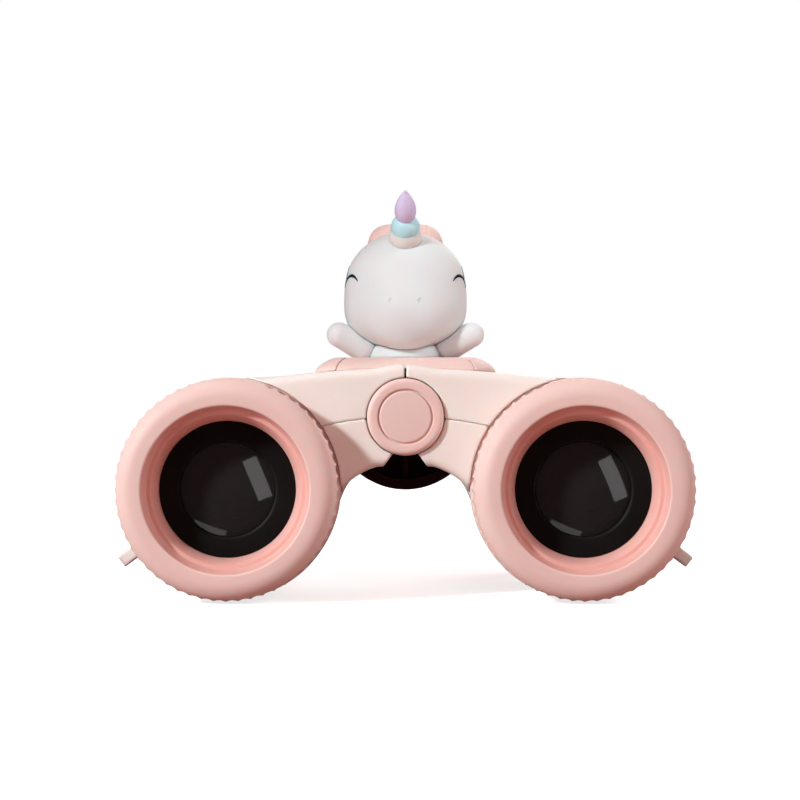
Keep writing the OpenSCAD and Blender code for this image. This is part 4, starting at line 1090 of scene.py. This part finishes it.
FOCAL_PX, IMAGE_PX, SENSOR = 1930.0, 800, 36    # focal length in pixels of the 800 x 800 image
CAMERA_Y, CAMERA_UP = 4.0 - 400, 0.81           # from the ring front, and above the hinge axis
PITCH_PX, YAW_PX = 13.0, 5.4
cam = bpy.data.cameras.new("camera")
cam.lens = FOCAL_PX / IMAGE_PX * SENSOR
cam.sensor_width = SENSOR
cam.clip_start = 0.01
camera = bpy.data.objects.new("camera", cam)
scene.collection.objects.link(camera)
camera.location = (0, (CAMERA_Y - HALF_LEN) * MM, (LIFT + CAMERA_UP) * MM)
camera.rotation_euler = (math.radians(90) + math.atan(PITCH_PX / FOCAL_PX), 0, math.atan(YAW_PX / FOCAL_PX))
scene.camera = camera
scene.view_settings.view_transform = "Standard"


# Lamps

AIM = (0, -0.02, 0.035)
PLAIN, COOL = (1, 1, 1), (0.84, 1.0, 1.03)
GLINT_Y, GLINT_FAR = 6.2, 0.9


def area(name, direction, distance, size, level, size_y=None, roll=0.0, color=PLAIN, aim=AIM, glossy=True):
    """Area lamp seen from aim along direction; a white wall that faces it would show about level."""
    d = Vector(direction).normalized()
    li = bpy.data.lights.new(name, "AREA")
    li.energy = level * math.pi ** 2 * distance ** 2
    li.size = size
    li.color = color
    if size_y:
        li.shape = "RECTANGLE"
        li.size_y = size_y
    ob = bpy.data.objects.new(name, li)
    ob.location = Vector(aim) + d * distance
    ob.rotation_euler = ((-d).to_track_quat("-Z", "Y").to_matrix() @ Matrix.Rotation(roll, 3, "Z")).to_euler()
    ob.visible_glossy = glossy
    scene.collection.objects.link(ob)
    return ob


def receivers(lamp, objects, state="INCLUDE"):
    """The lamp lights these objects alone, or with EXCLUDE all but these."""
    group = bpy.data.collections.new(lamp.name + "_receivers")
    for ob in objects:
        group.objects.link(ob)
    for member in group.collection_objects:
        member.light_linking.link_state = state
    lamp.light_linking.receiver_collection = group


figure = [ob for ob in scene.collection.objects if ob.name.split("_", 1)[0] in ("unicorn", "horn")]
dull += [lens_dome[-1], lens_dome[1]]
dark = dull + [wheel_ob]
# name, direction, distance, size, level, colour, seen in gloss, objects that it lights or leaves out
LAMPS = (
    ("key", (-0.71, -0.54, 0.43), 1.6, 0.14, 0.98, COOL, True, figure + dull, "EXCLUDE"),
    ("front_fill", (0.12, -0.98, -0.02), 1.25, 1.2, 0.06, PLAIN, False, dark, "EXCLUDE"),
    ("low_left", (-0.6, -0.8, 0.03), 1.3, 0.6, 0.15, COOL, False, dark, "EXCLUDE"),
    ("right", (0.85, -0.12, 0.52), 1.4, 0.5, 0.46, COOL, False, None, None),
    ("back", (0.35, 0.8, 0.6), 1.5, 0.9, 0.28, PLAIN, True, None, None),
    ("figure_key", (-0.50, -0.71, 0.50), 1.6, 0.16, 0.61, COOL, True, figure, "INCLUDE"),
    ("figure_fill", (0.15, -0.88, 0.35), 1.4, 1.0, 0.17, COOL, False, figure, "INCLUDE"),
    ("lens_key", (-0.764, -0.39, 0.512), 1.6, 0.14, 1.2, PLAIN, True, dull, "INCLUDE"),
)
for name, way, distance, size, level, color, glossy, objects, state in LAMPS:
    lamp = area(name, way, distance, size, level, color=color, glossy=glossy)
    if objects:
        receivers(lamp, objects, state)

# The two highlights on each lens, a tall soft box upper right and a low one lower left:
# name, place on the lens, width, height, tilt, level
GLINTS = (("strip", (6.7, 2.4), 0.16, 0.46, 22, 0.058), ("rim", (-4.0, -8.9), 0.08, 0.34, 66, 0.012))
lens_r = sphere_r(LENS_RIM, FRONT_SAG)
for s in (-1, 1):
    at = Vector((BARREL[s][0], GLINT_Y - HALF_LEN, BARREL[s][1] + LIFT)) * MM
    to_eye = (camera.location - at).normalized()
    for name, (gx, gz), wide, tall, tilt, level in GLINTS:
        n = Vector((gx, -math.sqrt(lens_r ** 2 - gx ** 2 - gz ** 2), gz)) / lens_r
        way = 2 * n.dot(to_eye) * n - to_eye
        lamp = area(SIDE[s] + "_" + name, way, GLINT_FAR, wide, level, size_y=tall, roll=math.radians(tilt), aim=at)
        receivers(lamp, [lens_dome[s]])
